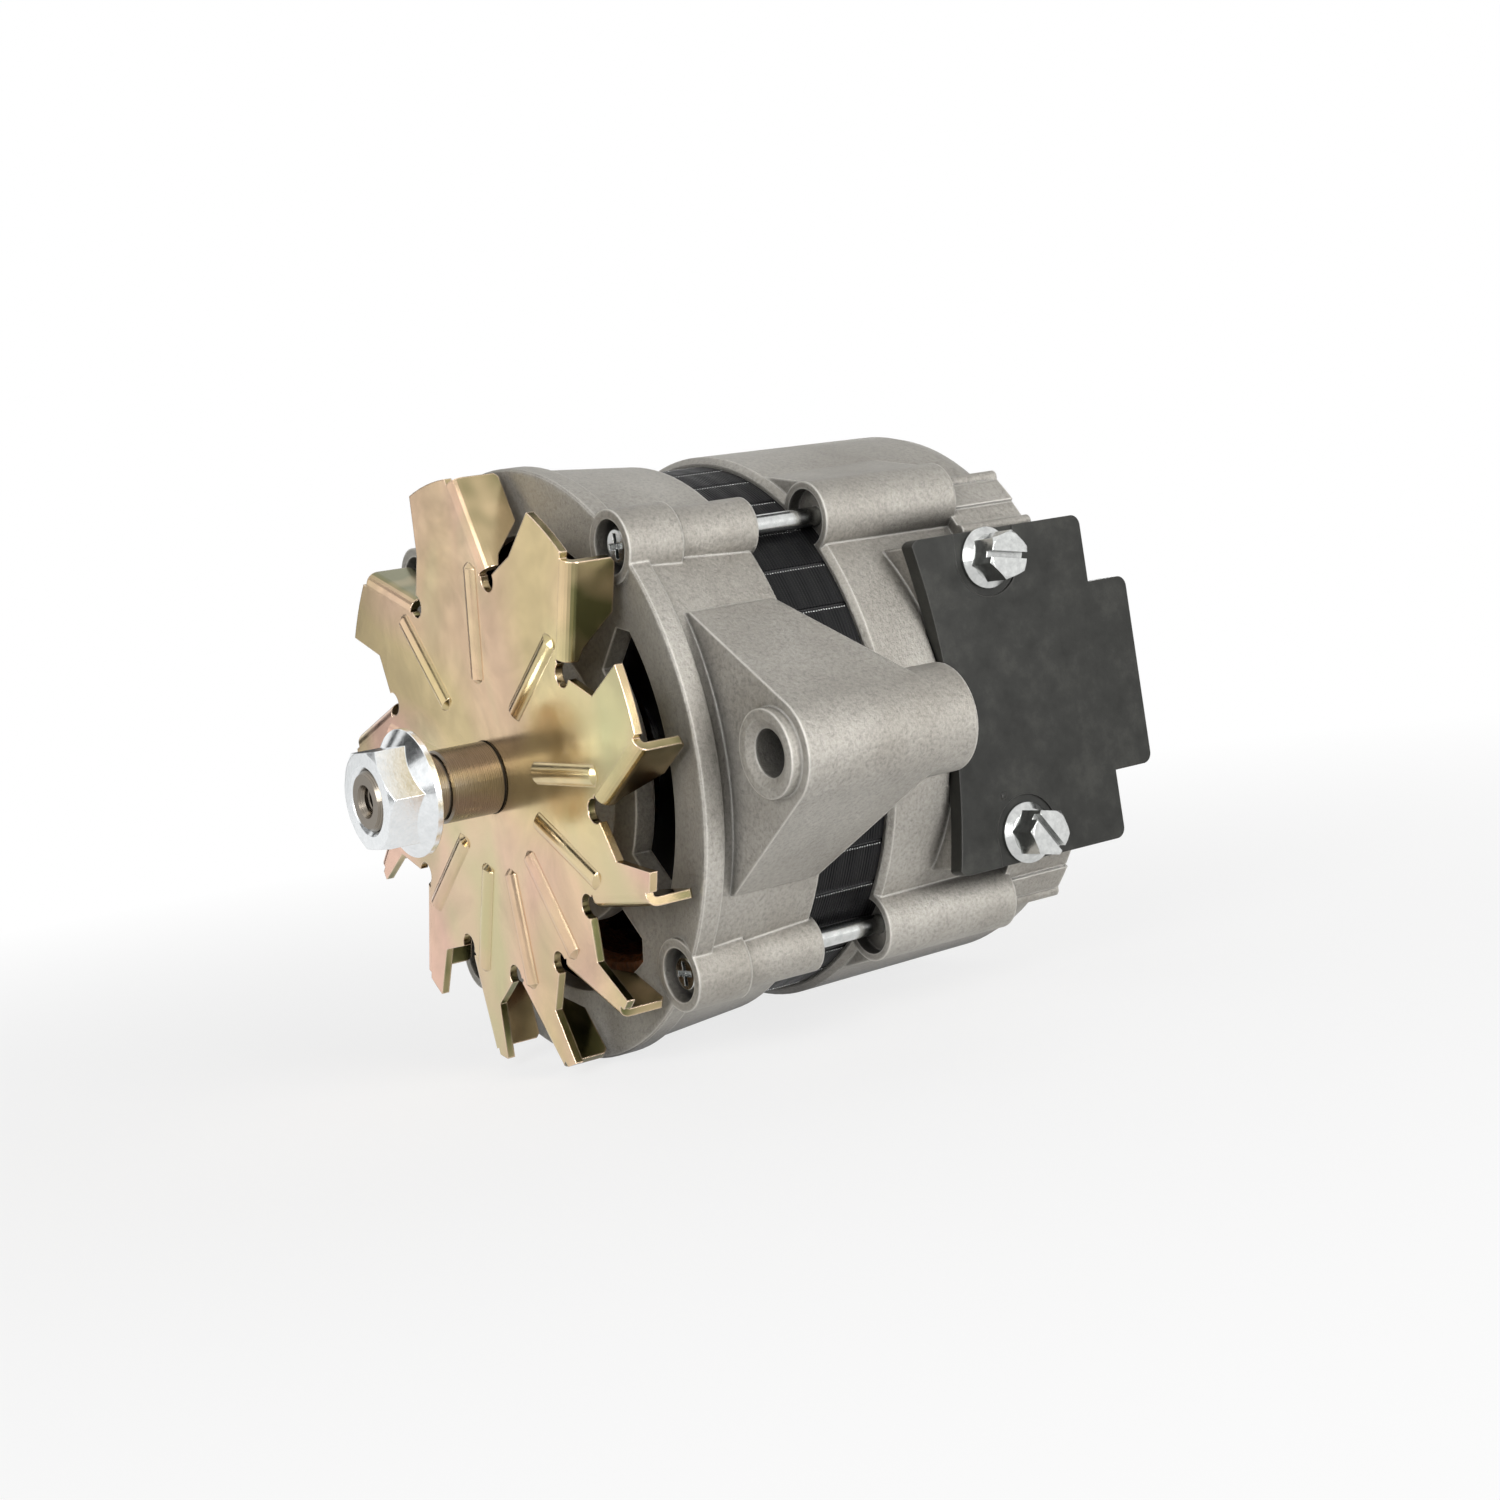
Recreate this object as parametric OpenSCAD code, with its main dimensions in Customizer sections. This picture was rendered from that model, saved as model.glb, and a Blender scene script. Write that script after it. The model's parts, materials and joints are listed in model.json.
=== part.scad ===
// Engine alternator with an outside fan, claw pole rotor and brush gear.
// The shaft lies along Y: the pulley end points to -Y and the rear end to +Y.
// The origin is on the shaft axis, at the middle of the pulley seat.
// Angles are measured round the shaft from +X, the lug side, towards +Z.

/* [Shaft and nut] */
// Diameter of the pulley seat and of the shaft in the front bearing
seat_d = 17; // [15:0.5:19]
// Length of the pulley seat in front of the fan
seat_len = 13.5; // [10:0.5:20]
// Diameter of the neck between the seat and the thread
neck_d = 15.6; // [14.5:0.1:16]
// Length of the neck
neck_len = 6; // [4:0.5:9]
// Diameter of the thread under the pulley nut
thread_d = 14; // [12:0.5:14.4]
// Size across the flats of the pulley nut
nut_flats = 22; // [20:0.5:24]
// Height of the pulley nut with its flange
nut_h = 11.5; // [9:0.5:14]
// Diameter of the flange of the pulley nut
nut_flange_d = 29.6; // [27:0.2:32]

/* [Fan] */
// Diameter over the fan blades
fan_d = 138; // [130:1:138]
// Thickness of the fan sheet
fan_t = 2; // [1.5:0.1:2.4]
// Depth of the folded fan flaps, from the front face
flap_depth = 12; // [9:0.5:14]
// Distance of the relief holes from the axis
relief_r = 47.2; // [44:0.2:50]
// Diameter of the relief holes
relief_d = 5.6; // [4:0.2:6.5]
// Radius inside the folds of the sheet
fold_r = 0.8; // [0.6:0.1:2]
// Height of the pressed beads over the sheet
bead_h = 1.2; // [0.8:0.1:1.6]
// Running gap between the flap tips and the drive end bracket
fan_gap = 1.8; // [1.2:0.1:4]

/* [Drive end bracket] */
// Radius of the rim of the drive end bracket
rim_r = 69.6; // [69.4:0.1:72]
// Width of the rim band
rim_w = 5.5; // [4:0.5:8]
// Length of the drive end bracket, from its rim to its rear edge
de_len = 33.5; // [30:0.5:38]
// Radius of the bracket wall at its rear edge
de_rear_r = 66.2; // [65.8:0.1:67.5]
// Thickness of the wall across the front
de_wall = 5; // [4:0.5:7]
// Outer radius of the air windows
window_r = 54; // [50:0.5:57]
// Radial width of the air windows
window_w = 16; // [12:0.5:16.5]
// Number of spokes across the air openings
spokes = 4; // [4:1:8]
// Width of a spoke
spoke_w = 15; // [10:0.5:18]
// Radius of the bearing hub
hub_r = 29; // [28:0.5:32]

/* [Pivot lug] */
// Distance of the pivot bolt from the shaft axis
lug_x = 87; // [84:0.5:92]
// Diameter of the pivot bolt hole
lug_hole_d = 10.5; // [8.5:0.1:12.5]
// Radius of the lug boss
lug_r = 12; // [10:0.5:14]
// Length of the lug boss
lug_len = 47; // [40:0.5:52]
// Distance of the web's front face behind the front of the lug boss
web_set = 2.6; // [0:0.2:4]
// Half angle of the web where it meets the bracket
web_angle = 26.4; // [22:0.2:29]
// Slope of the rear edge of the web, in degrees
web_slope = 22.5; // [15:0.5:30]

/* [Adjuster ear] */
// Distance of the adjuster hole from the shaft axis
ear_x = 82; // [80:0.5:90]
// Diameter of the tapped adjuster hole
ear_hole_d = 6.8; // [5:0.1:8.5]
// Radius of the ear
ear_r = 9; // [7.5:0.5:11]
// Thickness of the ear
ear_t = 14; // [10:0.5:20]

/* [Stator] */
// Diameter of the stator core
stator_d = 128; // [124:0.5:128.6]
// Diameter of the stator bore
stator_bore = 92; // [88:0.5:94]
// Length of the lamination stack
stack_len = 38; // [34:0.5:42]
// Length of the stack that shows between the brackets
stack_show = 18.8; // [14:0.2:22]
// Number of slots
slots = 36; // [24:6:36]
// Width of a slot
slot_w = 4.4; // [3:0.1:4.8]
// Depth of a slot
slot_depth = 11.5; // [9:0.5:12.5]
// Length of the winding ends past the stack
winding_over = 11; // [8:0.5:12]

/* [Rotor] */
// Air gap between the claw poles and the stator
air_gap = 0.5; // [0.4:0.05:0.8]
// Length of the claw pole pair
rotor_len = 33; // [30:0.5:36]
// Number of claws on each pole
claws = 6; // [5:1:7]
// Thickness of a pole disc
pole_t = 10; // [8:0.5:12]
// Outer radius of the field coil
coil_r = 31.5; // [28:0.5:32]
// Radius of the slip rings
ring_r = 14; // [12:0.5:16]
// Width of a slip ring
ring_w = 7; // [6:0.2:7.6]
// Distance between the middles of the slip rings
ring_pitch = 9.5; // [8.6:0.1:12]

/* [Bearings] */
// Outer diameter of the front bearing
front_bearing_d = 40; // [38:1:42]
// Width of the front bearing
front_bearing_w = 12; // [11:0.5:13]
// Outer diameter of the rear bearing
rear_bearing_d = 35; // [34:1:38]
// Width of the rear bearing
rear_bearing_w = 11; // [10:0.5:12]
// Diameter of the shaft in the rear bearing
rear_shaft_d = 15; // [14:0.5:16]
// Number of balls in a bearing
balls = 8; // [7:1:8]

/* [Slip ring end bracket] */
// Radius of the slip ring end bracket
sre_r = 66.4; // [66:0.1:68]
// Length of the slip ring end bracket
sre_len = 57.7; // [56:0.1:62]
// Thickness of its rear wall
sre_wall = 4; // [3:0.5:6]
// Length of the bolt bosses on the slip ring end bracket
sre_boss_len = 37.5; // [30:0.5:42]

/* [Through bolts] */
// Radius of the circle of the through bolts
bolt_circle = 67.1; // [66.9:0.1:68.5]
// Angle of the through bolts above and below the lug
bolt_angle = 45; // [44:0.5:47]
// Diameter of the through bolts
bolt_d = 4.5; // [4:0.1:4.8]
// Diameter of the counterbores for the bolt heads
cbore_d = 12.3; // [11.5:0.1:12.6]
// Diameter of the bolt heads
bolt_head_d = 10; // [8:0.2:10.6]
// Radius of the bolt bosses
boss_r = 8.3; // [8:0.1:9]

/* [Side cover] */
// Distance of the outer face of the cover from the shaft axis
cover_x = 67.7; // [67.2:0.1:70]
// Thickness of the cover
cover_t = 4; // [3:0.5:4]
// Distance of the front corners of the cover behind the slip ring end bracket's edge
cover_y = 13.2; // [12:0.2:15]
// Length of the cover along the shaft
cover_len = 50; // [49:0.5:52]
// Height of the cover
cover_h = 77; // [76:0.5:80]
// Length of the cover's rear tab
tab_len = 11.5; // [8:0.5:13]
// Height of the cover's rear tab
tab_h = 45; // [40:0.5:50]
// Depth of the curve in the cover's front edge
cover_sag = 4.5; // [2:0.5:6]
// Distance between the cover screws
cover_screws_z = 64; // [62:0.5:66]
// Diameter of the cover screws
cover_screw_d = 6; // [5:0.5:6.5]

/* [Brush gear] */
// Width of a brush along the shaft
brush_w = 5; // [4:0.2:5.6]
// Height of a brush
brush_h = 8; // [6:0.5:9]
// Length of a brush
brush_len = 18; // [14:0.5:20]
// Travel of a brush away from its ring
brush_travel = 3; // [2:0.5:4]

/* [Rectifier and terminals] */
// Thickness of a heat sink
sink_t = 4; // [3:0.5:5]
// Diameter of a diode
diode_d = 12.7; // [11:0.1:13]
// Diameter of the battery terminal
battery_d = 6; // [5:0.5:8]
// Diameter of the indicator terminal
indicator_d = 5; // [4:0.5:6]
// Length of the terminals behind the rear wall
terminal_len = 20; // [17:0.5:24]

/* [Fits] */
// Clearance of a seated fit, on the radius
fit = 0.03; // [0.02:0.01:0.05]
// Clearance of a screw or bolt in its hole, on the radius
hole_gap = 0.3; // [0.2:0.05:0.4]
// Clearance between rolling and sliding faces
run_gap = 0.15; // [0.1:0.05:0.2]

/* [Hidden] */
$fn = 64;

// Overshoot of a cutting solid past the face that it cuts
cut = 1;
seat_r = seat_d / 2;
fan_front = seat_len / 2;
fan_back = fan_front + fan_t;
flap_tip = fan_front + flap_depth;
fan_r = fan_d / 2;

// Places along the shaft, from the pulley end to the rear
rim_y = flap_tip + fan_gap;
web_y = rim_y + rim_w;
de_rear = rim_y + de_len;
sre_front = de_rear + stack_show;
sre_rear = sre_front + sre_len;
stack_y = de_rear - (stack_len - stack_show) / 2;
stack_end = stack_y + stack_len;
front_bearing_y = rim_y + 0.5;
front_bearing_end = front_bearing_y + front_bearing_w;
rotor_y = stack_y + (stack_len - rotor_len) / 2;
rotor_end = rotor_y + rotor_len;
rear_bearing_end = sre_rear - 2;
rear_bearing_y = rear_bearing_end - rear_bearing_w;
cover_front = sre_front + cover_y;
cover_rear = cover_front + cover_len;
cover_screw_y = cover_front + 21;
cover_under = cover_x - cover_t;
rings_y = rear_bearing_y - 12;

// Walls and depths that several parts share
register_r = stator_d / 2 + fit;
de_shell_r = register_r - 2.6;
sre_shell_r = register_r - 2.4;
hub_front = front_bearing_y - 6;
bolt_seat = rim_y + 5;
bolt_r = bolt_d / 2;
bolt_end = sre_front + sre_boss_len - 5;
boss_step = rim_y + 14;
thin_boss_r = boss_r - 1.5;
claw_r = stator_bore / 2 - air_gap;
core_r = 10;
nut_back = -seat_len / 2 - neck_len;
nut_front = nut_back - nut_h;
nut_gap = 0.1;

// Blade pitches of the fan, uneven so that the fan doesn't whistle
blade_pitch = [44, 37.5, 28.5, 27, 28, 27.5, 29.5, 26.5, 26.5, 38, 47];
// Angle of the first relief hole
first_hole = 71.5;
// A blade wider than this has its tip set further back
wide_blade = 40;

function sum_to(list, n) = n <= 0 ? 0 : list[n - 1] + sum_to(list, n - 1);
function hole_angle(i) = first_hole - sum_to(blade_pitch, i);
function polar(r, a) = [r * cos(a), r * sin(a)];

// A flat shape, drawn as x and z, from y over the thickness t
module slab(y, t) {
    translate([0, y + t, 0]) rotate([90, 0, 0]) linear_extrude(t) children();
}

// A flat shape, drawn as y and z, from x over the thickness t
module slab_x(x, t) {
    translate([x, 0, 0]) rotate([90, 0, 90]) linear_extrude(t) children();
}

// A profile, drawn as radius and y, turned round the shaft axis
module turned() {
    rotate([-90, 0, 0]) rotate_extrude() children();
}

// A cylinder along Y
module rod(y, l, r) {
    translate([0, y, 0]) rotate([-90, 0, 0]) cylinder(h = l, r = r);
}

module ring(y, l, r_out, r_in) {
    difference() {
        rod(y, l, r_out);
        rod(y - cut, l + 2 * cut, r_in);
    }
}

// Moves a piece to an angle round the shaft
module at_angle(a) {
    rotate([0, -a, 0]) children();
}

// Moves a piece to a radius and an angle
module at_polar(r, a) {
    translate([r * cos(a), 0, r * sin(a)]) children();
}

// A hexagonal prism along Y with its corners turned off at both ends
module hex_body(y, l, flats) {
    corner = flats / sqrt(3);
    bevel = (corner - flats / 2) * 0.9;
    intersection() {
        translate([0, y, 0]) rotate([-90, 0, 0]) cylinder(h = l, r = corner, $fn = 6);
        turned() polygon([[0, y], [corner - bevel, y], [corner, y + bevel * 0.6],
            [corner, y + l - bevel * 0.6], [corner - bevel, y + l], [0, y + l]]);
    }
}

bolt_angles = [bolt_angle, -bolt_angle, 180 - bolt_angle, 180 + bolt_angle];

module at_bolts() {
    for (a = bolt_angles) at_polar(bolt_circle, a) children();
}

// Rounded rectangle from two opposite corners
module rounded(x1, y1, x2, y2, r) {
    translate([x1 + r, y1]) square([x2 - x1 - 2 * r, y2 - y1]);
    translate([x1, y1 + r]) square([x2 - x1, y2 - y1 - 2 * r]);
    for (x = [x1 + r, x2 - r], y = [y1 + r, y2 - r]) translate([x, y]) circle(r);
}

// Drive end bracket

window_in = window_r - window_w;

// One air window between two spokes
module window_shape(a) {
    half = 180 / spokes;
    far = window_r * 1.5;
    // The outer corners are cut off on a slant
    corner = 9;
    corner_a = 14;
    difference() {
        intersection() {
            difference() {
                circle(window_r);
                circle(window_in);
            }
            polygon([[0, 0], polar(window_r - corner, a - half),
                polar(window_r + 1, a - half + corner_a), polar(far, a),
                polar(window_r + 1, a + half - corner_a), polar(window_r - corner, a + half)]);
        }
        for (s = [-half, half]) rotate(a + s) translate([0, -spoke_w / 2]) square([far, spoke_w]);
    }
}

web_root = [rim_r * cos(web_angle), rim_r * sin(web_angle)];
web_span = norm([lug_x - web_root[0], web_root[1]]);
web_lean = asin(lug_r / web_span) - atan2(web_root[1], lug_x - web_root[0]);
web_run = sqrt(web_span * web_span - lug_r * lug_r);
web_tip = [web_root[0] + web_run * cos(web_lean), web_root[1] + web_run * sin(web_lean)];

// The lug: a wedge from the bracket wall to the boss, cut off on a slant at the rear
module lug() {
    web_back = de_rear - 3.2;
    intersection() {
        slab(web_y + web_set, lug_len - web_set) union() {
            polygon([[de_rear_r - 12, web_root[1]], web_root, web_tip,
                [web_tip[0], -web_tip[1]], [web_root[0], -web_root[1]],
                [de_rear_r - 12, -web_root[1]]]);
            translate([lug_x, 0]) circle(lug_r);
        }
        union() {
            translate([0, 0, -lug_x]) linear_extrude(2 * lug_x) polygon([[0, web_y - cut],
                [lug_x + lug_r + cut, web_y - cut],
                [lug_x + lug_r + cut, web_back + (lug_x + lug_r + cut - web_root[0]) * tan(web_slope)],
                [web_root[0], web_back], [0, web_back]]);
            translate([lug_x, 0, 0]) rod(web_y, lug_len, lug_r);
        }
    }
    translate([lug_x, 0, 0]) rod(web_y, lug_len / 2, lug_r - 2.4);
}

// The ear for the belt adjuster, opposite the lug
module ear() {
    slab(web_y, ear_t) {
        translate([-ear_x, 0]) circle(ear_r);
        polygon([[-ear_x, ear_r], [-rim_r + 4, ear_r * 1.8], [-rim_r + 9, -ear_r * 1.8],
            [-ear_x, -ear_r]]);
        polygon([[-rim_r + 4, ear_r * 1.8], [-rim_r + 12, 0], [-rim_r + 4, -ear_r * 1.8]]);
    }
}

module de_outside() {
    lip = 1.2;
    turned() polygon([[0, hub_front], [hub_r - 3, hub_front], [hub_r - 1, hub_front + 2],
        [hub_r + 1.5, rim_y + 1.5], [window_in, rim_y + 2.5], [window_r, rim_y + 2.5],
        [rim_r - 5, rim_y + 0.8], [rim_r - lip, rim_y], [rim_r - 0.4, rim_y],
        [rim_r, rim_y + 0.4], [rim_r, web_y - 0.6], [rim_r - lip, web_y + 0.2],
        [de_rear_r, de_rear], [0, de_rear]]);
    at_bolts() {
        rod(rim_y, boss_step - rim_y, boss_r);
        rod(rim_y, de_rear + 1.2 - rim_y, thin_boss_r);
    }
    lug();
    ear();
}

module drive_end_bracket() color("lightgray") {
    wall_in = rim_y + 2.5 + de_wall;
    difference() {
        de_outside();
        turned() polygon([[hub_r, wall_in], [de_shell_r, wall_in], [de_shell_r, stack_y],
            [register_r, stack_y], [register_r, web_y + lug_len + cut],
            [0, web_y + lug_len + cut], [0, front_bearing_end], [hub_r, front_bearing_end]]);
        rod(front_bearing_y, front_bearing_w + cut, front_bearing_d / 2 + fit);
        rod(hub_front - cut, front_bearing_w, hub_opening);
        for (i = [0:spokes - 1])
            slab(rim_y - cut, de_wall + 5) window_shape(i * 360 / spokes);
        at_bolts() {
            rod(rim_y - cut, bolt_seat - rim_y + cut, cbore_d / 2);
            rod(rim_y, de_len + 2 * cut, bolt_r + hole_gap);
        }
        translate([lug_x, 0, 0]) {
            rod(web_y - cut, lug_len + 2 * cut, lug_hole_d / 2);
            turned() polygon([[0, web_y - cut], [lug_hole_d / 2 + 4, web_y - cut],
                [lug_hole_d / 2, web_y + 1.2], [0, web_y + 1.2]]);
        }
        translate([-ear_x, 0, 0]) rod(web_y - cut, ear_t + 2 * cut, ear_hole_d / 2);
        for (a = retainer_angles) at_polar(retainer_circle, a)
            rod(front_bearing_end - retainer_screw_len, retainer_screw_len + cut, retainer_screw_r + fit);
    }
}

hub_opening = seat_r + 4.5;

// Front bearing and its retainer

// Races share one form: a ring with a ball groove
module race(y, w, r_out, r_in, pitch_r, ball_r) {
    difference() {
        ring(y, w, r_out, r_in);
        translate([0, y + w / 2, 0]) rotate([-90, 0, 0]) rotate_extrude()
            translate([pitch_r, 0]) circle(ball_r + run_gap);
    }
}

module ball_set(y, w, pitch_r, ball_r) {
    for (i = [0:balls - 1]) at_angle(i * 360 / balls)
        translate([pitch_r, y + w / 2, 0]) sphere(ball_r);
}

// Ring with a round pocket for each ball
module cage(y, w, pitch_r, ball_r) {
    difference() {
        ring(y + w / 2 - ball_r - 1, ball_r * 2 + 2, pitch_r + ball_r * 0.3, pitch_r - ball_r * 0.3);
        for (i = [0:balls - 1]) at_angle(i * 360 / balls)
            translate([pitch_r, y + w / 2, 0]) rotate([0, 90, 0])
                cylinder(h = ball_r * 2, r = ball_r + run_gap, center = true);
    }
}

front_pitch_r = (front_bearing_d / 2 + seat_r) / 2;
front_ball_r = (front_bearing_d / 2 - seat_r) * 0.29;
front_race_t = (front_bearing_d / 2 - seat_r) * 0.32;

module front_bearing_outer_race() color("silver")
    race(front_bearing_y, front_bearing_w, front_bearing_d / 2,
        front_bearing_d / 2 - front_race_t, front_pitch_r, front_ball_r);

module front_bearing_inner_race() color("silver")
    race(front_bearing_y, front_bearing_w, seat_r + front_race_t,
        seat_r + fit, front_pitch_r, front_ball_r);

module front_bearing_balls() color("gainsboro")
    ball_set(front_bearing_y, front_bearing_w, front_pitch_r, front_ball_r);

module front_bearing_cage() color("goldenrod")
    cage(front_bearing_y, front_bearing_w, front_pitch_r, front_ball_r);

retainer_angles = [0, 90, 180, 270];
retainer_screw_r = 2;
retainer_screw_len = 8;
retainer_circle = front_bearing_d / 2 + retainer_screw_r + 2.2;
retainer_t = 2;

module bearing_retainer_plate() color("darkgray") difference() {
    ring(front_bearing_end, retainer_t, hub_r, front_bearing_d / 2 - front_race_t);
    for (a = retainer_angles) at_polar(retainer_circle, a)
        rod(front_bearing_end - cut, retainer_t + 2 * cut, retainer_screw_r + hole_gap);
}

module retainer_screws() color("silver") for (a = retainer_angles) at_polar(retainer_circle, a) {
    head_y = front_bearing_end + retainer_t;
    difference() {
        union() {
            rod(front_bearing_end - retainer_screw_len + 1, retainer_screw_len - 1 + retainer_t, retainer_screw_r);
            rod(head_y, 2.2, retainer_screw_r * 1.7);
        }
        slab(head_y + 1.2, 2) square([retainer_screw_r * 4, 1], center = true);
    }
}

// Stator

module stator_core() color([0.12, 0.12, 0.12]) {
    groove_r = 0.5;
    slab(stack_y, stack_len) difference() {
        circle(stator_d / 2);
        circle(stator_bore / 2);
        for (i = [0:slots - 1]) rotate(i * 360 / slots) {
            translate([stator_bore / 2 - cut, -slot_w / 2]) square([slot_depth + cut, slot_w]);
            rotate(180 / slots) translate([stator_d / 2, 0]) circle(groove_r);
        }
    }
}

module stator_winding() color([0.55, 0.25, 0.1]) {
    bar_in = stator_bore / 2 + 2;
    bar_out = stator_bore / 2 + slot_depth - 0.3;
    bar_w = slot_w - 0.4;
    bulge = 2.2;
    for (i = [0:slots - 1]) at_angle(i * 360 / slots)
        translate([bar_in, stack_y - 2, -bar_w / 2]) cube([bar_out - bar_in, stack_len + 4, bar_w]);
    for (side = [[stack_y - 1, -1], [stack_end + 1, 1]])
        turned() polygon([[bar_in, side[0]], [bar_out, side[0]],
            [bar_out + bulge, side[0] + side[1] * winding_over * 0.35],
            [bar_out + bulge, side[0] + side[1] * winding_over * 0.7],
            [bar_out - 1, side[0] + side[1] * (winding_over - 1)],
            [bar_in + 1.5, side[0] + side[1] * (winding_over - 1)],
            [bar_in, side[0] + side[1] * winding_over * 0.75]]);
}

// Rotor

module rotor_shaft() color("silver") {
    rear_r = rear_shaft_d / 2;
    shoulder_r = core_r + 2;
    rings_r = core_r - 1;
    chamfer = 0.8;
    relief = 0.5;
    difference() {
        turned() polygon([[0, nut_front - 0.4], [thread_d / 2 - chamfer, nut_front - 0.4],
            [thread_d / 2, nut_front + chamfer], [thread_d / 2, nut_back + nut_gap],
            [neck_d / 2, nut_back + nut_gap], [neck_d / 2, -seat_len / 2 - 0.8],
            [neck_d / 2 - 0.5, -seat_len / 2 - 0.8], [neck_d / 2 - 0.5, -seat_len / 2 - 0.1],
            [seat_r - relief, -seat_len / 2], [seat_r, -seat_len / 2 + relief],
            [seat_r, fan_front - relief], [seat_r - relief, fan_front - relief],
            [seat_r - relief, fan_front], [seat_r, fan_front], [seat_r, front_bearing_end], [shoulder_r, front_bearing_end],
            [shoulder_r, rotor_y], [core_r, rotor_y], [core_r, rotor_end + 4],
            [rings_r, rotor_end + 4], [rings_r, rear_bearing_y], [rear_r, rear_bearing_y],
            [rear_r, rear_bearing_end - 0.4], [rear_r - 0.4, rear_bearing_end],
            [0, rear_bearing_end]]);
        turned() polygon([[0, nut_front - 2], [4.6, nut_front - 2], [3.2, nut_front + 1],
            [3.2, nut_front + 10], [0.5, nut_front + 12], [0, nut_front + 12]]);
    }
}

// A pole: a disc on the shaft with claws that narrow towards their tips
module claw_pole() {
    claw_len = rotor_len - 1.5;
    root_half = claw_r * sin(180 / claws) * 0.46;
    tip_half = root_half * 0.45;
    root_t = 12;
    tip_t = 4;
    core_len = rotor_len / 2;
    bobbin_r = core_r + 7.5;
    difference() {
        union() {
            rod(0, pole_t, claw_r - root_t - 1.5);
            rod(0, core_len, bobbin_r - 0.3);
            for (i = [0:claws - 1]) at_angle(i * 360 / claws) intersection() {
                turned() polygon([[0, 0], [claw_r - 2, 0], [claw_r, 2], [claw_r, claw_len],
                    [claw_r - tip_t, claw_len], [claw_r - root_t, pole_t], [0, pole_t]]);
                slab_x(core_r + 4, claw_r) polygon([[-cut, -root_half], [pole_t, -root_half],
                    [claw_len + cut, -tip_half], [claw_len + cut, tip_half],
                    [pole_t, root_half], [-cut, root_half]]);
            }
        }
        rod(-cut, rotor_len, core_r + fit);
    }
}

module front_claw_pole() color("dimgray") translate([0, rotor_y, 0]) claw_pole();

module rear_claw_pole() color("dimgray")
    translate([0, rotor_end, 0]) at_angle(180 / claws) mirror([0, 1, 0]) claw_pole();

bobbin_in = core_r + 7.5;
bobbin_wall = 1.2;

module coil_bobbin() color("ivory") {
    front = rotor_y + pole_t + 0.2;
    back = rotor_end - pole_t - 0.2;
    turned() polygon([[bobbin_in, front], [coil_r - 1, front], [coil_r - 1, front + bobbin_wall],
        [bobbin_in + bobbin_wall, front + bobbin_wall], [bobbin_in + bobbin_wall, back - bobbin_wall],
        [coil_r - 1, back - bobbin_wall], [coil_r - 1, back], [bobbin_in, back]]);
}

module field_coil() color([0.6, 0.3, 0.1]) {
    front = rotor_y + pole_t + bobbin_wall + 0.3;
    back = rotor_end - pole_t - bobbin_wall - 0.3;
    ring(front, back - front, coil_r - 2, bobbin_in + bobbin_wall + 0.1);
}

module slip_ring_insulator() color("saddlebrown")
    ring(rings_y - ring_pitch / 2 - ring_w / 2 - 2, ring_pitch + ring_w + 4, ring_r - 2, core_r - 1 + fit);

module slip_ring(y) ring(y - ring_w / 2, ring_w, ring_r, ring_r - 2 + fit);

module front_slip_ring() color("orange") slip_ring(rings_y - ring_pitch / 2);

module rear_slip_ring() color("orange") slip_ring(rings_y + ring_pitch / 2);

// Cooling fan: one stamped sheet with petals, relief holes, beads and folded flaps

fold_out = fold_r + fan_t;
// Angles of a blade's corners, from the relief hole before it or after it
notch_back = 10.2;
tip_back = 8;
wide_tip_back = 15;
fold_ahead = 13.5;
fold_start_ahead = 1.4;
fold_start_r = relief_r + 2.6;
bead_in_ahead = 11.5;
bead_out_ahead = 9.5;
bead_in_r = seat_r + 14.5;
bead_out_r = relief_r + 1.5;
// Length of a bead's pointed end, as a share of the bead's radius
bead_point = 1.1;

function fold_start(i) = polar(fold_start_r, hole_angle(i + 1) + fold_start_ahead);
function fold_end(i) = polar(fan_r, hole_angle(i + 1) + fold_ahead);
function fold_angle(i) = let(d = fold_end(i) - fold_start(i)) atan2(d[1], d[0]);
fold_len = norm(fold_end(0) - fold_start(0));
fold_lap = 1;
// A point of the sheet's edge beside a fold, halfway over the bend's lap
function beside_fold(i, run) = fold_start(i) + polar(run, fold_angle(i))
    + polar(fold_out + fold_lap / 2, fold_angle(i) + 90);

// Outline of one petal, cut to the fan's circle afterwards
function petal(i) = let(
    a = hole_angle(i),
    b = hole_angle(i + 1),
    far = fan_r * 1.06,
    tip = blade_pitch[i] > wide_blade ? wide_tip_back : tip_back
) [polar(relief_r, a), polar(fan_r * 0.81, a - notch_back), polar(fan_r * 1.01, a - tip),
    polar(far, a - tip - 1), polar(far, (a - tip + b + fold_ahead) / 2),
    beside_fold(i, fold_len * 1.3), beside_fold(i, -0.4)];

module fan_sheet() {
    slab(fan_front, fan_t) difference() {
        intersection() {
            circle(fan_r);
            polygon([for (i = [0:len(blade_pitch) - 1]) each petal(i)]);
        }
        for (i = [0:len(blade_pitch) - 1]) translate(polar(relief_r, hole_angle(i))) circle(relief_d / 2);
    }
}

// Section of a bend, with a short lap on the sheet and on the flap
fold_steps = [0:15:90];
fold_step = 0.02;
fold_section = concat([[0, fold_out + fold_lap]],
    [for (a = fold_steps) [fold_out, fold_out] + polar(fold_out, 180 + a)],
    [[fold_out + fold_lap, 0], [fold_out + fold_lap, fan_t]],
    [for (a = fold_steps) [fold_out, fold_out] + polar(fold_r, 270 - a)],
    [[fan_t, fold_out + fold_lap]]);

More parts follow.
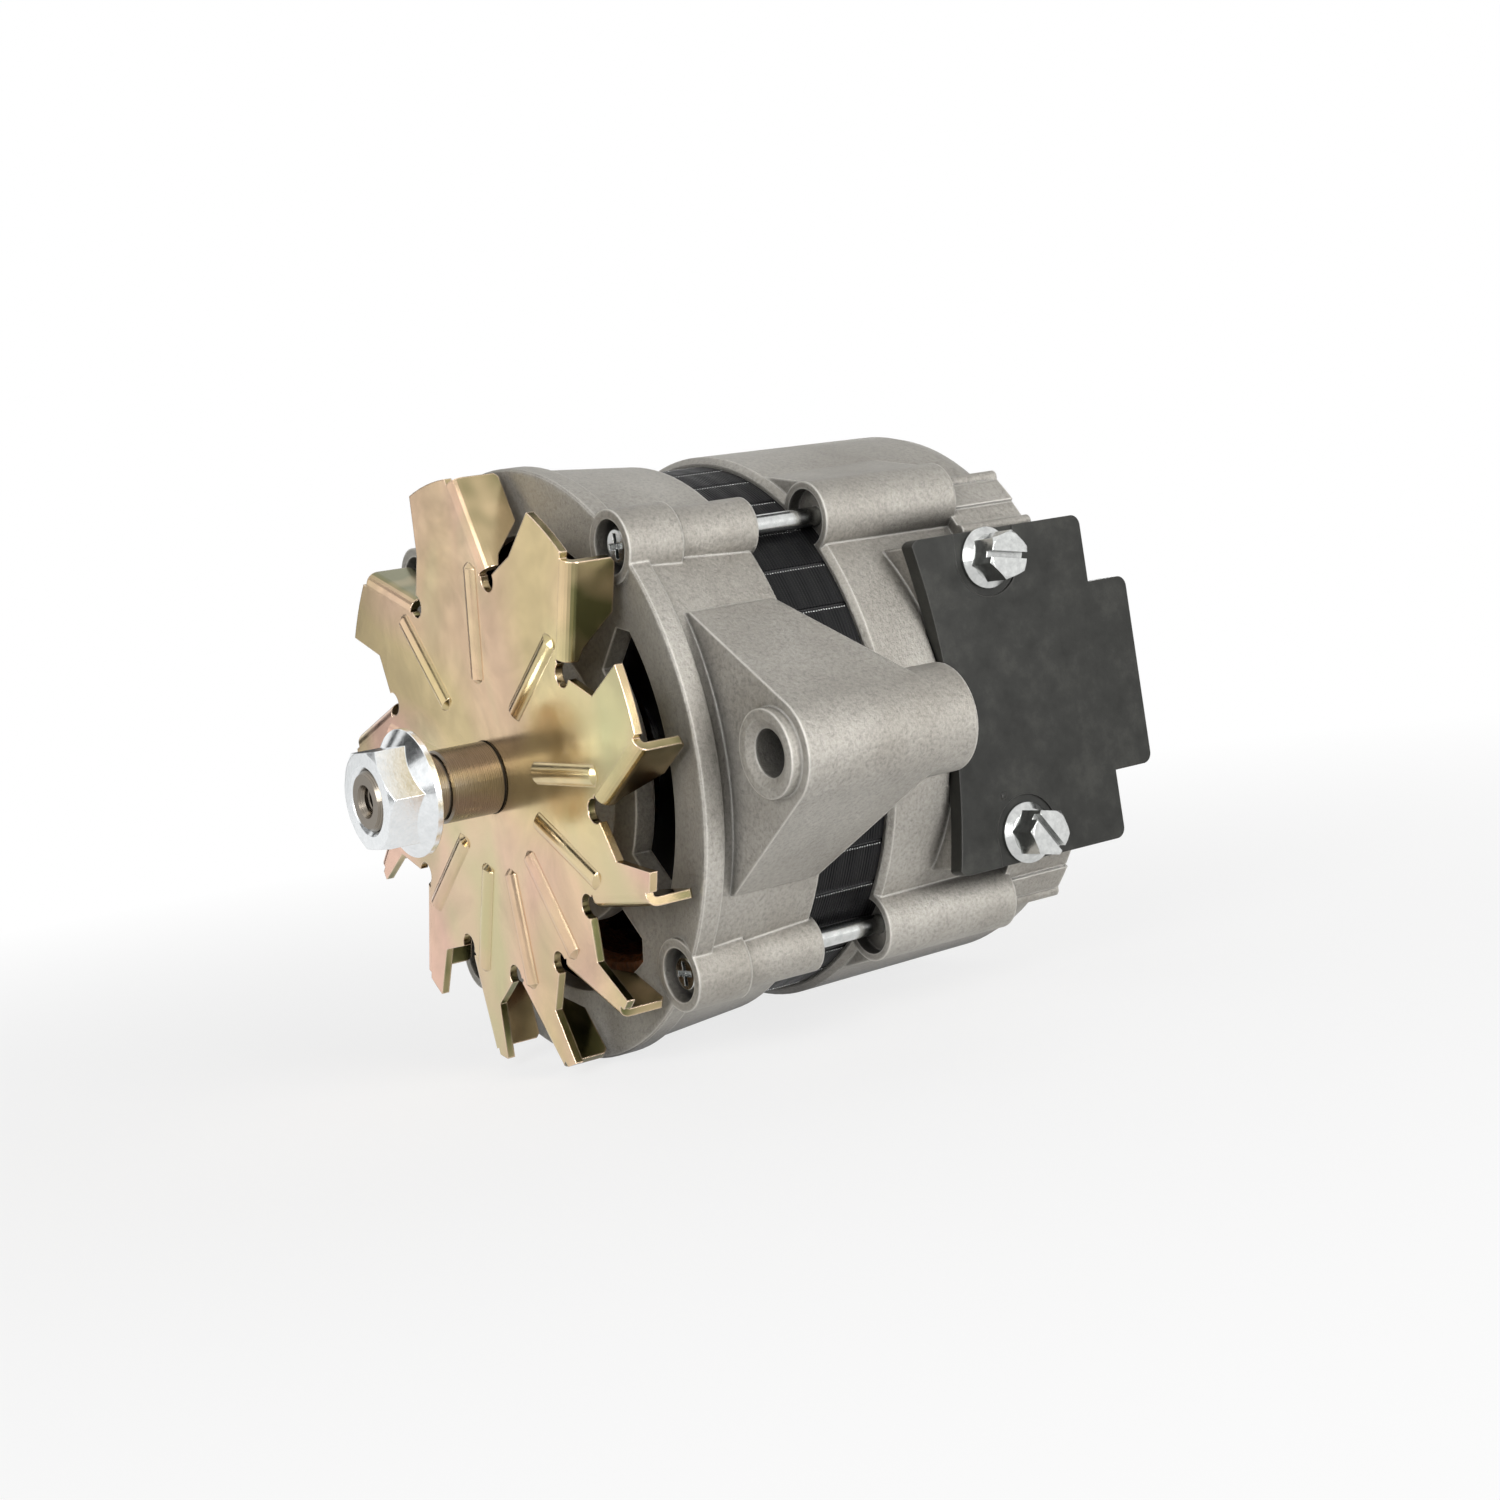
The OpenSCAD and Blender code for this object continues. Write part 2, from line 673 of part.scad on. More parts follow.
// The bend and the flap of one blade, behind the sheet
module flap(i) {
    p = fold_start(i);
    translate([p[0], fan_front + fold_step, p[1]]) at_angle(fold_angle(i)) {
        slab_x(0, fold_len) polygon(fold_section);
        linear_extrude(fan_t) polygon([[0, fold_out], [fold_len, fold_out],
            [fold_len, flap_depth - 1], [fold_len - 1, flap_depth], [fold_len * 0.45, flap_depth],
            [fold_len * 0.12, fold_out + 2], [0, fold_out + fold_lap]]);
    }
}

// A bead is a round bar with pointed ends, sunk into the sheet
module bead_bar(i, y, r) {
    from = polar(bead_in_r, hole_angle(i + 1) + bead_in_ahead);
    run = polar(bead_out_r, hole_angle(i + 1) + bead_out_ahead) - from;
    translate([from[0], y, from[1]]) at_angle(atan2(run[1], run[0]))
        rotate([0, 90, 0]) rotate([0, 0, 90]) rotate_extrude()
            polygon([[0, -bead_point * r], [r, 0], [r, norm(run)], [0, norm(run) + bead_point * r]]);
}

module cooling_fan() color("gold") {
    blades = len(blade_pitch);
    bead_shift = 0.1;
    bead_r = fan_t + bead_h - bead_shift;
    difference() {
        union() {
            fan_sheet();
            for (i = [0:blades - 1]) {
                flap(i);
                intersection() {
                    bead_bar(i, fan_back - bead_shift, bead_r);
                    rod(fan_back - bead_r - cut, bead_r + cut, fan_r);
                }
            }
        }
        for (i = [0:blades - 1]) bead_bar(i, fan_back + bead_shift, bead_r - fan_t + 0.4);
        rod(fan_front - bead_h - cut, fan_t + bead_h + 2 * cut, seat_r + fit);
    }
}

module fan_spacer() color("silver")
    ring(fan_back, front_bearing_y - fan_back, seat_r + 3, seat_r + fit);

module pulley_nut() color("lightsteelblue") {
    flange_t = 2.4;
    difference() {
        union() {
            hex_body(nut_front, nut_h - 1, nut_flats);
            turned() polygon([[0, nut_back - flange_t - 2], [nut_flats / 2, nut_back - flange_t - 2],
                [nut_flange_d / 2, nut_back - flange_t + 1], [nut_flange_d / 2, nut_back], [0, nut_back]]);
        }
        rod(nut_front - cut, nut_h + 2 * cut, thread_d / 2 + fit);
        turned() polygon([[0, nut_front - cut], [thread_d / 2 + 1 + cut, nut_front - cut],
            [thread_d / 2, nut_front + 1], [0, nut_front + 1]]);
    }
}

// Slip ring end bracket

brush_y1 = rings_y - ring_pitch / 2;
brush_y2 = rings_y + ring_pitch / 2;
holder_wall = 2.2;
holder_front = brush_y1 - brush_w / 2 - holder_wall;
holder_back = brush_y2 + brush_w / 2 + holder_wall;
flange_front = holder_front - 3;
flange_back = holder_back + 3;
flange_half = 23;
flange_t = 3;
flange_x = cover_under - 1.2 - flange_t;
holder_screw_z = 18.6;
holder_half = brush_h / 2 + holder_wall;

cover_corner = 2.5;
cover_arc = (cover_h * cover_h / 4 + cover_sag * cover_sag) / (2 * cover_sag);

// Outline of the cover, grown on all sides; the pad under it is a little smaller
module cover_shape(grow) {
    r = cover_corner + grow;
    difference() {
        union() {
            rounded(cover_front - grow, -cover_h / 2 - grow, cover_rear + grow, cover_h / 2 + grow, r);
            rounded(cover_rear - 3 * tab_len, -tab_h / 2 - grow, cover_rear + tab_len + grow,
                tab_h / 2 + grow, r);
        }
        translate([cover_front + cover_sag - cover_arc, 0]) circle(cover_arc - grow);
    }
}

pad_floor = 40;
pad_inset = 1.2;
cover_gap = 0.3;
sink_angles = [128, 180, 232];
sink_circle = 44;
stud_circle = 44;
battery_angle = 154;
indicator_angle = -70;
wall_in_y = sre_rear - sre_wall;
negative_y = wall_in_y - 3 - sink_t;
positive_y = negative_y - 9 - sink_t;
sink_screw_angles = [108, 206, 252];
sink_screw_r = 2;
exciter_angle = 78;

// Rib block behind a bolt boss, with a nib along each side
module rib_block(side) {
    y = sre_front + sre_boss_len - 1;
    nib_a = 34.6;
    nib_b = 47.6;
    far = rim_r * 1.3;
    slab(y, sre_rear - 1.6 - y) {
        intersection() {
            circle(rim_r - 0.8);
            polygon([[0, 0], polar(far, side * nib_a), polar(far, side * nib_b)]);
        }
        intersection() {
            circle(rim_r - 0.1);
            polygon([[0, 0], polar(far, side * (nib_a + 5.2)), polar(far, side * (nib_b - 2))]);
        }
    }
    for (a = [nib_a, nib_b]) at_polar(rim_r - 1.4, side * a) rod(y, sre_rear - 0.6 - y, 1.6);
}

module sre_outside() {
    turned() polygon([[0, sre_front], [sre_r - 1.4, sre_front], [sre_r, sre_front + 1.2],
        [sre_r - 0.6, sre_rear - 5], [sre_r - 1.4, sre_rear - 1.6], [sre_r - 4, sre_rear],
        [0, sre_rear]]);
    at_bolts() rod(sre_front, sre_boss_len, boss_r);
    for (side = [-1, 1]) {
        rib_block(side);
        // The boss runs out into the casing on the side away from the lug
        slab(sre_front + 1.5, sre_boss_len - 4) polygon([polar(sre_r - 4, side * bolt_angle),
            polar(bolt_circle + boss_r * 0.9, side * (bolt_angle + 2.5)),
            polar(sre_r + 1.6, side * (bolt_angle + 13)), polar(sre_r - 1, side * (bolt_angle + 20))]);
    }
    slab_x(pad_floor, cover_under - pad_floor) cover_shape(-pad_inset);
}

// Curved air slot in the rear wall
module air_slot(a, span, r_in, r_out) {
    far = r_out * 1.5;
    intersection() {
        difference() {
            circle(r_out);
            circle(r_in);
        }
        polygon([[0, 0], polar(far, a - span / 2), polar(far, a), polar(far, a + span / 2)]);
    }
}

sleeve_t = 1.2;
sleeve_r = rear_bearing_d / 2 + sleeve_t;
rear_hub_r = sleeve_r + 4;

module slip_ring_end_bracket() color("lightgray") difference() {
    sre_outside();
    turned() polygon([[0, sre_front - cut], [register_r, sre_front - cut], [register_r, stack_end],
        [sre_shell_r, stack_end], [sre_shell_r, wall_in_y], [rear_hub_r, wall_in_y],
        [rear_hub_r, rear_bearing_y], [0, rear_bearing_y]]);
    rod(rear_bearing_y - cut, rear_bearing_w + cut, sleeve_r + fit);
    rod(rear_bearing_y, rear_bearing_w + 3, rear_bearing_d / 2 - 2);
    slab_x(flange_x, cover_x) rounded(flange_front - 0.4, -flange_half - 0.4, flange_back + 0.4, flange_half + 0.4, 2.4);
    slab_x(pad_floor - 8, cover_x) translate([holder_front - 0.6, -holder_half - 0.6])
        square([holder_back - holder_front + 1.2, 2 * holder_half + 1.2]);
    slab_x(cover_under, cover_x) cover_shape(cover_gap);
    slab_x(pad_floor + 4, cover_x)
        rounded(sre_rear + 0.5, -tab_h / 2 + 4, cover_rear + tab_len - 4.5, tab_h / 2 - 4, 2);
    for (z = [-holder_screw_z, holder_screw_z]) translate([0, rings_y, z])
        rotate([0, 90, 0]) cylinder(h = cover_x, r = holder_screw_r + fit);
    for (z = [-cover_screws_z / 2, cover_screws_z / 2]) translate([pad_floor, cover_screw_y, z])
        rotate([0, 90, 0]) cylinder(h = cover_x, r = cover_screw_d / 2 + fit);
    at_bolts() {
        rod(sre_front - cut, bolt_end - sre_front + 2, bolt_r + fit);
        rod(sre_front - cut, 3 + cut, boss_r - 1.7);
    }
    for (a = [30, 78, 102, 128, 180, 206, 258, 282, 330])
        slab(wall_in_y - cut, sre_wall + 2 * cut) air_slot(a, 13, rear_hub_r + 3, 36);
    for (a = [108, 133, 180, 206, 252])
        slab(wall_in_y - cut, sre_wall + 2 * cut) air_slot(a, 9, 49, 57);
    at_polar(stud_circle, battery_angle)
        rod(wall_in_y - cut, sre_wall + 2 * cut, battery_d / 2 + bush_wall + fit);
    at_polar(stud_circle, indicator_angle)
        rod(wall_in_y - cut, sre_wall + 2 * cut, indicator_d / 2 + bush_wall + fit);
    for (a = sink_screw_angles) at_polar(sink_circle, a)
        rod(wall_in_y - cut, sre_wall + 2 * cut, sink_screw_r + fit);
    at_polar(sink_circle, exciter_angle) rod(wall_in_y - cut, sre_wall + 2 * cut, sink_screw_r + fit);
}

module through_bolts() color("silver") at_bolts() {
    head_y = bolt_seat - 3.4;
    slot = 1.3;
    difference() {
        union() {
            rod(bolt_seat - 0.6, bolt_end - bolt_seat + 0.6, bolt_r);
            turned() polygon([[0, head_y], [bolt_head_d / 2 - 1.4, head_y],
                [bolt_head_d / 2, head_y + 1.4], [bolt_head_d / 2, bolt_seat], [0, bolt_seat]]);
        }
        slab(head_y - cut, cut + 1.8) {
            square([bolt_head_d * 0.55, slot], center = true);
            square([slot, bolt_head_d * 0.55], center = true);
        }
    }
}

// Rear bearing

rear_shaft_r = rear_shaft_d / 2;
rear_pitch_r = (rear_bearing_d / 2 + rear_shaft_r) / 2;
rear_ball_r = (rear_bearing_d / 2 - rear_shaft_r) * 0.29;
rear_race_t = (rear_bearing_d / 2 - rear_shaft_r) * 0.32;

module rear_bearing_outer_race() color("silver") {
    race(rear_bearing_y, rear_bearing_w, rear_bearing_d / 2,
        rear_bearing_d / 2 - rear_race_t, rear_pitch_r, rear_ball_r);
}

module rear_bearing_inner_race() color("silver")
    race(rear_bearing_y, rear_bearing_w, rear_shaft_r + rear_race_t,
        rear_shaft_r + fit, rear_pitch_r, rear_ball_r);

module rear_bearing_balls() color("gainsboro")
    ball_set(rear_bearing_y, rear_bearing_w, rear_pitch_r, rear_ball_r);

module rear_bearing_cage() color("goldenrod")
    cage(rear_bearing_y, rear_bearing_w, rear_pitch_r, rear_ball_r);

// Plastic sleeve that holds the rear bearing in its hub
module rear_bearing_cap() color("black")
    ring(rear_bearing_y, rear_bearing_w, sleeve_r, rear_bearing_d / 2 + fit);

// Side cover with its screws

module side_cover() color([0.1, 0.1, 0.1]) {
    difference() {
        slab_x(cover_under, cover_t) cover_shape(0);
        for (side = [-1, 1]) {
            z = side * cover_screws_z / 2;
            slab_x(cover_under - cut, cover_t + 2 * cut)
                translate([cover_screw_y, z]) circle(cover_screw_d / 2 + hole_gap);
            slab_x(cover_x - screw_recess, screw_recess + cut) translate([cover_screw_y, z]) {
                circle(recess_r);
                translate([-recess_r + 0.2, side > 0 ? 0 : -cover_h / 2]) square([recess_r * 2 - 0.4, cover_h / 2]);
            }
        }
    }
}

screw_flange_r = cover_screw_d * 1.18;
recess_r = screw_flange_r + 1.8;
screw_recess = 0.6;

module cover_screws() color("silver") for (side = [-1, 1])
    translate([0, cover_screw_y, side * cover_screws_z / 2]) rotate([0, 0, -90]) {
        seat = cover_x - screw_recess;
        head = 9;
        difference() {
            union() {
                turned() polygon([[0, seat], [screw_flange_r, seat], [screw_flange_r, seat + 0.8],
                    [cover_screw_d * 0.9, seat + 2.2], [0, seat + 2.2]]);
                rotate([0, side * 12, 0]) hex_body(seat + 1, head - 1, cover_screw_d * 1.667);
                rod(seat - cover_t - 8, cover_t + 8.2, cover_screw_d / 2);
            }
            rotate([0, side > 0 ? 80 : 35, 0]) slab(seat + head - 2, 3)
                square([1.5, cover_screw_d * 3], center = true);
        }
    }

// Brush gear

holder_screw_r = 2;
channel_gap = 0.2;
brush_x = ring_r + 0.3;
spring_x = brush_x + brush_len;
spring_end = flange_x + 1;

module holder_blank() {
    holder_in = ring_r + 3;
    slab_x(flange_x, flange_t)
        rounded(flange_front, -flange_half, flange_back, flange_half, 2);
    slab_x(holder_in, flange_x - holder_in + 0.5) translate([holder_front, -holder_half])
        square([holder_back - holder_front, 2 * holder_half]);
}

module brush_holder() color([0.15, 0.12, 0.1]) difference() {
    holder_blank();
    for (y = [brush_y1, brush_y2])
        translate([0, y - brush_w / 2 - channel_gap, -brush_h / 2 - channel_gap])
            cube([spring_end, brush_w + 2 * channel_gap, brush_h + 2 * channel_gap]);
    for (z = [-holder_screw_z, holder_screw_z]) translate([flange_x - cut, rings_y, z])
        rotate([0, 90, 0]) cylinder(h = flange_t + 2 * cut, r = holder_screw_r + hole_gap);
}

module brush_holder_screws() color("silver") for (z = [-holder_screw_z, holder_screw_z])
    translate([0, rings_y, z]) rotate([0, 0, -90]) {
        top = flange_x + flange_t;
        rod(flange_x - 5, flange_t + 5.5, holder_screw_r);
        rod(top, 1, holder_screw_r * 1.7);
    }

module brush(y) {
    difference() {
        translate([brush_x - 1, y - brush_w / 2, -brush_h / 2]) cube([brush_len + 1, brush_w, brush_h]);
        rod(y - brush_w, brush_w * 2, brush_x);
    }
}

module front_brush() color("dimgray") brush(brush_y1);

module rear_brush() color("dimgray") brush(brush_y2);

// A short stack of rings stands for the wire coils of a brush spring
module brush_spring(y) {
    wire = 0.3;
    coil = brush_w / 2 - 0.5;
    turns = 7;
    step = (spring_end - spring_x) / turns;
    translate([spring_x, y, 0]) rotate([0, 90, 0]) {
        cylinder(h = spring_end - spring_x - 0.2, r = coil - 0.7);
        for (i = [0:turns - 1]) translate([0, 0, (i + 0.5) * step])
            cylinder(h = wire * 2, r = coil, center = true);
    }
}

module front_brush_spring() color("goldenrod") brush_spring(brush_y1);

module rear_brush_spring() color("goldenrod") brush_spring(brush_y2);

// Rectifier

diode_h = 8;

// Curved plate with a hole for each diode and screw
module sink(y, diode_list, screw_holes, stud_hole) {
    slab(y, sink_t) difference() {
        air_slot(180, 164, rear_hub_r + 2, sre_shell_r - 2);
        for (a = diode_list) translate(polar(sink_circle, a)) circle(diode_d / 2 + fit);
        for (a = sink_screw_angles) translate(polar(sink_circle, a)) circle(screw_holes);
        translate(polar(stud_circle, battery_angle)) circle(stud_hole);
    }
}

negative_angles = [128, 180, 229];
positive_angles = [134, 174, 222];

module negative_heat_sink() color("silver")
    sink(negative_y, negative_angles, sink_screw_r + hole_gap, battery_d / 2 + bush_wall + 1);

module positive_heat_sink() color("silver")
    sink(positive_y, positive_angles, spacer_neck_r + fit, battery_d / 2 + fit);

module diode_set(y, list, lead) for (a = list) at_polar(sink_circle, a) {
    rod(y, diode_h, diode_d / 2);
    rod(lead > 0 ? y + diode_h - 0.5 : y - 3.5, 4, 0.8);
}

module negative_diodes() color("gray") diode_set(negative_y + sink_t + 1 - diode_h, negative_angles, -1);

module positive_diodes() color("gray") diode_set(positive_y + sink_t - diode_h, positive_angles, 1);

spacer_r = sink_screw_r * 2.3;
spacer_neck_r = sink_screw_r + 1.2;
spacer_flange = 1.2;

// Screws through both sinks and the rear wall, with a nut outside
module rectifier_screws() color("silver") for (a = sink_screw_angles) at_polar(sink_circle, a) {
    head_y = positive_y - spacer_flange - 2;
    rod(head_y, 2, sink_screw_r * 1.8);
    rod(head_y + 1, sre_rear - head_y, sink_screw_r);
    ring(negative_y + sink_t, wall_in_y - negative_y - sink_t, sink_screw_r * 1.8, sink_screw_r - 0.2);
    hex_body(sre_rear, 3, sink_screw_r * 3.4);
}

// Insulating spools that hold the positive sink away from the screws and the negative sink
module rectifier_spacers() color([0.2, 0.2, 0.2]) for (a = sink_screw_angles) at_polar(sink_circle, a)
    difference() {
        union() {
            rod(positive_y - spacer_flange, spacer_flange, spacer_r);
            rod(positive_y - 0.5, sink_t + 1, spacer_neck_r);
            rod(positive_y + sink_t, negative_y - positive_y - sink_t, spacer_r);
        }
        rod(positive_y - spacer_flange - cut, sink_t + negative_y, sink_screw_r + fit);
    }

module exciter_diode_block() color([0.2, 0.2, 0.2]) at_polar(sink_circle, exciter_angle) {
    slab(wall_in_y - 6, 6) rounded(-9, -7, 9, 7, 2);
    for (x = [-5.5, 0, 5.5]) translate([x, 0, 0]) rod(wall_in_y - 9, 3.2, 1.6);
    rod(wall_in_y - 1, sre_wall + 1.2, sink_screw_r);
    rod(sre_rear, 2.4, sink_screw_r * 1.8);
}

// Terminals on the rear wall

bush_wall = 2;

module terminal_bush(d, front) {
    ring(front, sre_rear - front, d / 2 + bush_wall, d / 2 + fit);
    ring(sre_rear, 3, d / 2 + bush_wall + 3, d / 2 + fit);
}

function terminal_nut_end(d) = sre_rear + 3 + d * 0.8;

module terminal_nut(d) difference() {
    hex_body(sre_rear + 3, d * 0.8, d * 1.667);
    rod(sre_rear, d * 2, d / 2 + fit);
}

// Threaded stud; a groove behind the nut ends the free thread for the cable's ring
module terminal_stud(d, front, end) {
    groove = 0.5;
    chamfer = 0.6;
    groove_y = terminal_nut_end(d) + 0.3;
    turned() polygon([[0, front], [d / 2, front], [d / 2, groove_y], [d / 2 - groove, groove_y],
        [d / 2 - groove, groove_y + groove], [d / 2, groove_y + groove], [d / 2, end - chamfer],
        [d / 2 - chamfer, end], [0, end]]);
}

module battery_terminal_stud() color("silver") at_polar(stud_circle, battery_angle) {
    hex_body(positive_y - 4, 4, battery_d * 1.667);
    terminal_stud(battery_d, positive_y - 0.5, sre_rear + terminal_len);
}

module battery_terminal_insulator() color("black")
    at_polar(stud_circle, battery_angle) terminal_bush(battery_d, positive_y + sink_t);

module battery_terminal_nut() color("silver")
    at_polar(stud_circle, battery_angle) terminal_nut(battery_d);

module indicator_terminal_stud() color("silver") at_polar(stud_circle, indicator_angle) {
    hex_body(wall_in_y - 1.5 - 3.5, 3.5, indicator_d * 1.667);
    terminal_stud(indicator_d, wall_in_y - 2, sre_rear + terminal_len * 0.8);
}

module indicator_terminal_insulator() color("black")
    at_polar(stud_circle, indicator_angle) terminal_bush(indicator_d, wall_in_y - 1.5);

module indicator_terminal_nut() color("silver")
    at_polar(stud_circle, indicator_angle) terminal_nut(indicator_d);

drive_end_bracket();
stator_core();
stator_winding();
slip_ring_end_bracket();
through_bolts();
front_bearing_outer_race();
front_bearing_inner_race();
front_bearing_balls();
front_bearing_cage();
bearing_retainer_plate();
retainer_screws();
rear_bearing_outer_race();
rear_bearing_inner_race();
rear_bearing_balls();
rear_bearing_cage();
rotor_shaft();
front_claw_pole();
rear_claw_pole();
coil_bobbin();
field_coil();
slip_ring_insulator();
front_slip_ring();
rear_slip_ring();
cooling_fan();
fan_spacer();
pulley_nut();
side_cover();
cover_screws();
brush_holder();
brush_holder_screws();
front_brush();
rear_brush();
front_brush_spring();
rear_brush_spring();
positive_heat_sink();
negative_heat_sink();
positive_diodes();
negative_diodes();
rectifier_screws();
rectifier_spacers();
exciter_diode_block();
battery_terminal_stud();
battery_terminal_insulator();
battery_terminal_nut();
indicator_terminal_stud();
indicator_terminal_insulator();
indicator_terminal_nut();
rear_bearing_cap();
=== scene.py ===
"""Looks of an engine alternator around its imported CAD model.

Adds finishes, small visible pieces, a studio and a camera. The frame is the CAD's: metres, the
shaft along Y with the pulley end at -Y, the pivot lug at +X and Z up.
"""

import json
import math

import bpy
from mathutils import Matrix, Vector


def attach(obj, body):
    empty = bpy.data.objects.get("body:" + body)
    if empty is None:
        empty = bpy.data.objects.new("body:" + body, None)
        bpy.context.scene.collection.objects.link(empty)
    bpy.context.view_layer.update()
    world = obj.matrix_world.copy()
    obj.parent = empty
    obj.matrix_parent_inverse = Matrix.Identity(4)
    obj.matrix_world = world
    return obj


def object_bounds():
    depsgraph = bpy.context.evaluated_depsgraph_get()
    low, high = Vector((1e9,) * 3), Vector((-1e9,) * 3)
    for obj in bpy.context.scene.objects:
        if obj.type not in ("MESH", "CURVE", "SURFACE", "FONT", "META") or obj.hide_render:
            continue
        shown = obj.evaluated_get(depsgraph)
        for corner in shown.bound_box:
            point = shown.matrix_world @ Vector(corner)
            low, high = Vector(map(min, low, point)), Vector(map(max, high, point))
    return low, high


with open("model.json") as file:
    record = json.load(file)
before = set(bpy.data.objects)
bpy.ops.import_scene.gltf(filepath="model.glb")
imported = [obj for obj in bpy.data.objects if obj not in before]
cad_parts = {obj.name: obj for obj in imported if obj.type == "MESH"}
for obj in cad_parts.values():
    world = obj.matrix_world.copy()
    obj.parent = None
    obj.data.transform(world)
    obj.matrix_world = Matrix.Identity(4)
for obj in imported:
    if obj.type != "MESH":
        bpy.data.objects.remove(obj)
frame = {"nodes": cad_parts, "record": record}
cad_box = [list(map(float, corner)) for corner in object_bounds()]

MM = 0.001


# Shared helpers


def add_object(name, data):
    obj = bpy.data.objects.new(name, data)
    bpy.context.scene.collection.objects.link(obj)
    return obj


def principled(name, color, roughness):
    """A new material and its Principled shader."""
    material = bpy.data.materials.new(name)
    material.use_nodes = True
    shader = material.node_tree.nodes["Principled BSDF"]
    shader.inputs["Base Color"].default_value = (*color, 1)
    shader.inputs["Roughness"].default_value = roughness
    return material, shader


def feed(tree, socket, value):
    """Sets a socket to a colour or a number, or links another node's output to it."""
    if isinstance(value, tuple):
        socket.default_value = (*value, 1)
    elif isinstance(value, (int, float)):
        socket.default_value = value
    else:
        tree.links.new(value, socket)


def calculate(tree, kind, operation, *values):
    """The number that a Math or Vector Math node makes of its values."""
    node = tree.nodes.new(kind)
    node.operation = operation
    for socket, value in zip(node.inputs, values):
        feed(tree, socket, value)
    return node.outputs["Value"]


def map_range(tree, value, from_min, from_max, to_min=0.0, to_max=1.0):
    """Maps a number from one range to another, without leaving the second one."""
    node = tree.nodes.new("ShaderNodeMapRange")
    node.inputs["From Min"].default_value = from_min
    node.inputs["From Max"].default_value = from_max
    node.inputs["To Min"].default_value = to_min
    node.inputs["To Max"].default_value = to_max
    tree.links.new(value, node.inputs["Value"])
    return node.outputs["Result"]


# Materials

BEVEL_SAMPLES = 6
OCCLUSION_SAMPLES = 4
# Noise seldom leaves this range
NOISE_LOW = 0.3
NOISE_HIGH = 0.7
# From the cosine between a face's normal and its rounded normal: 1 on an edge, 0 on a face
EDGE_STOPS = [(0.78, 1.0), (0.97, 0.0)]
# A Mix node has a set of sockets for each data type. These are the ones for colours
MIX_FACTOR, MIX_FIRST, MIX_SECOND, MIX_RESULT = 0, 6, 7, 2
# A wave texture repeats every 2 pi / (20 x scale) metres, which makes bands of 0.8 mm
LAMINATION_SCALE = 1200 / math.pi


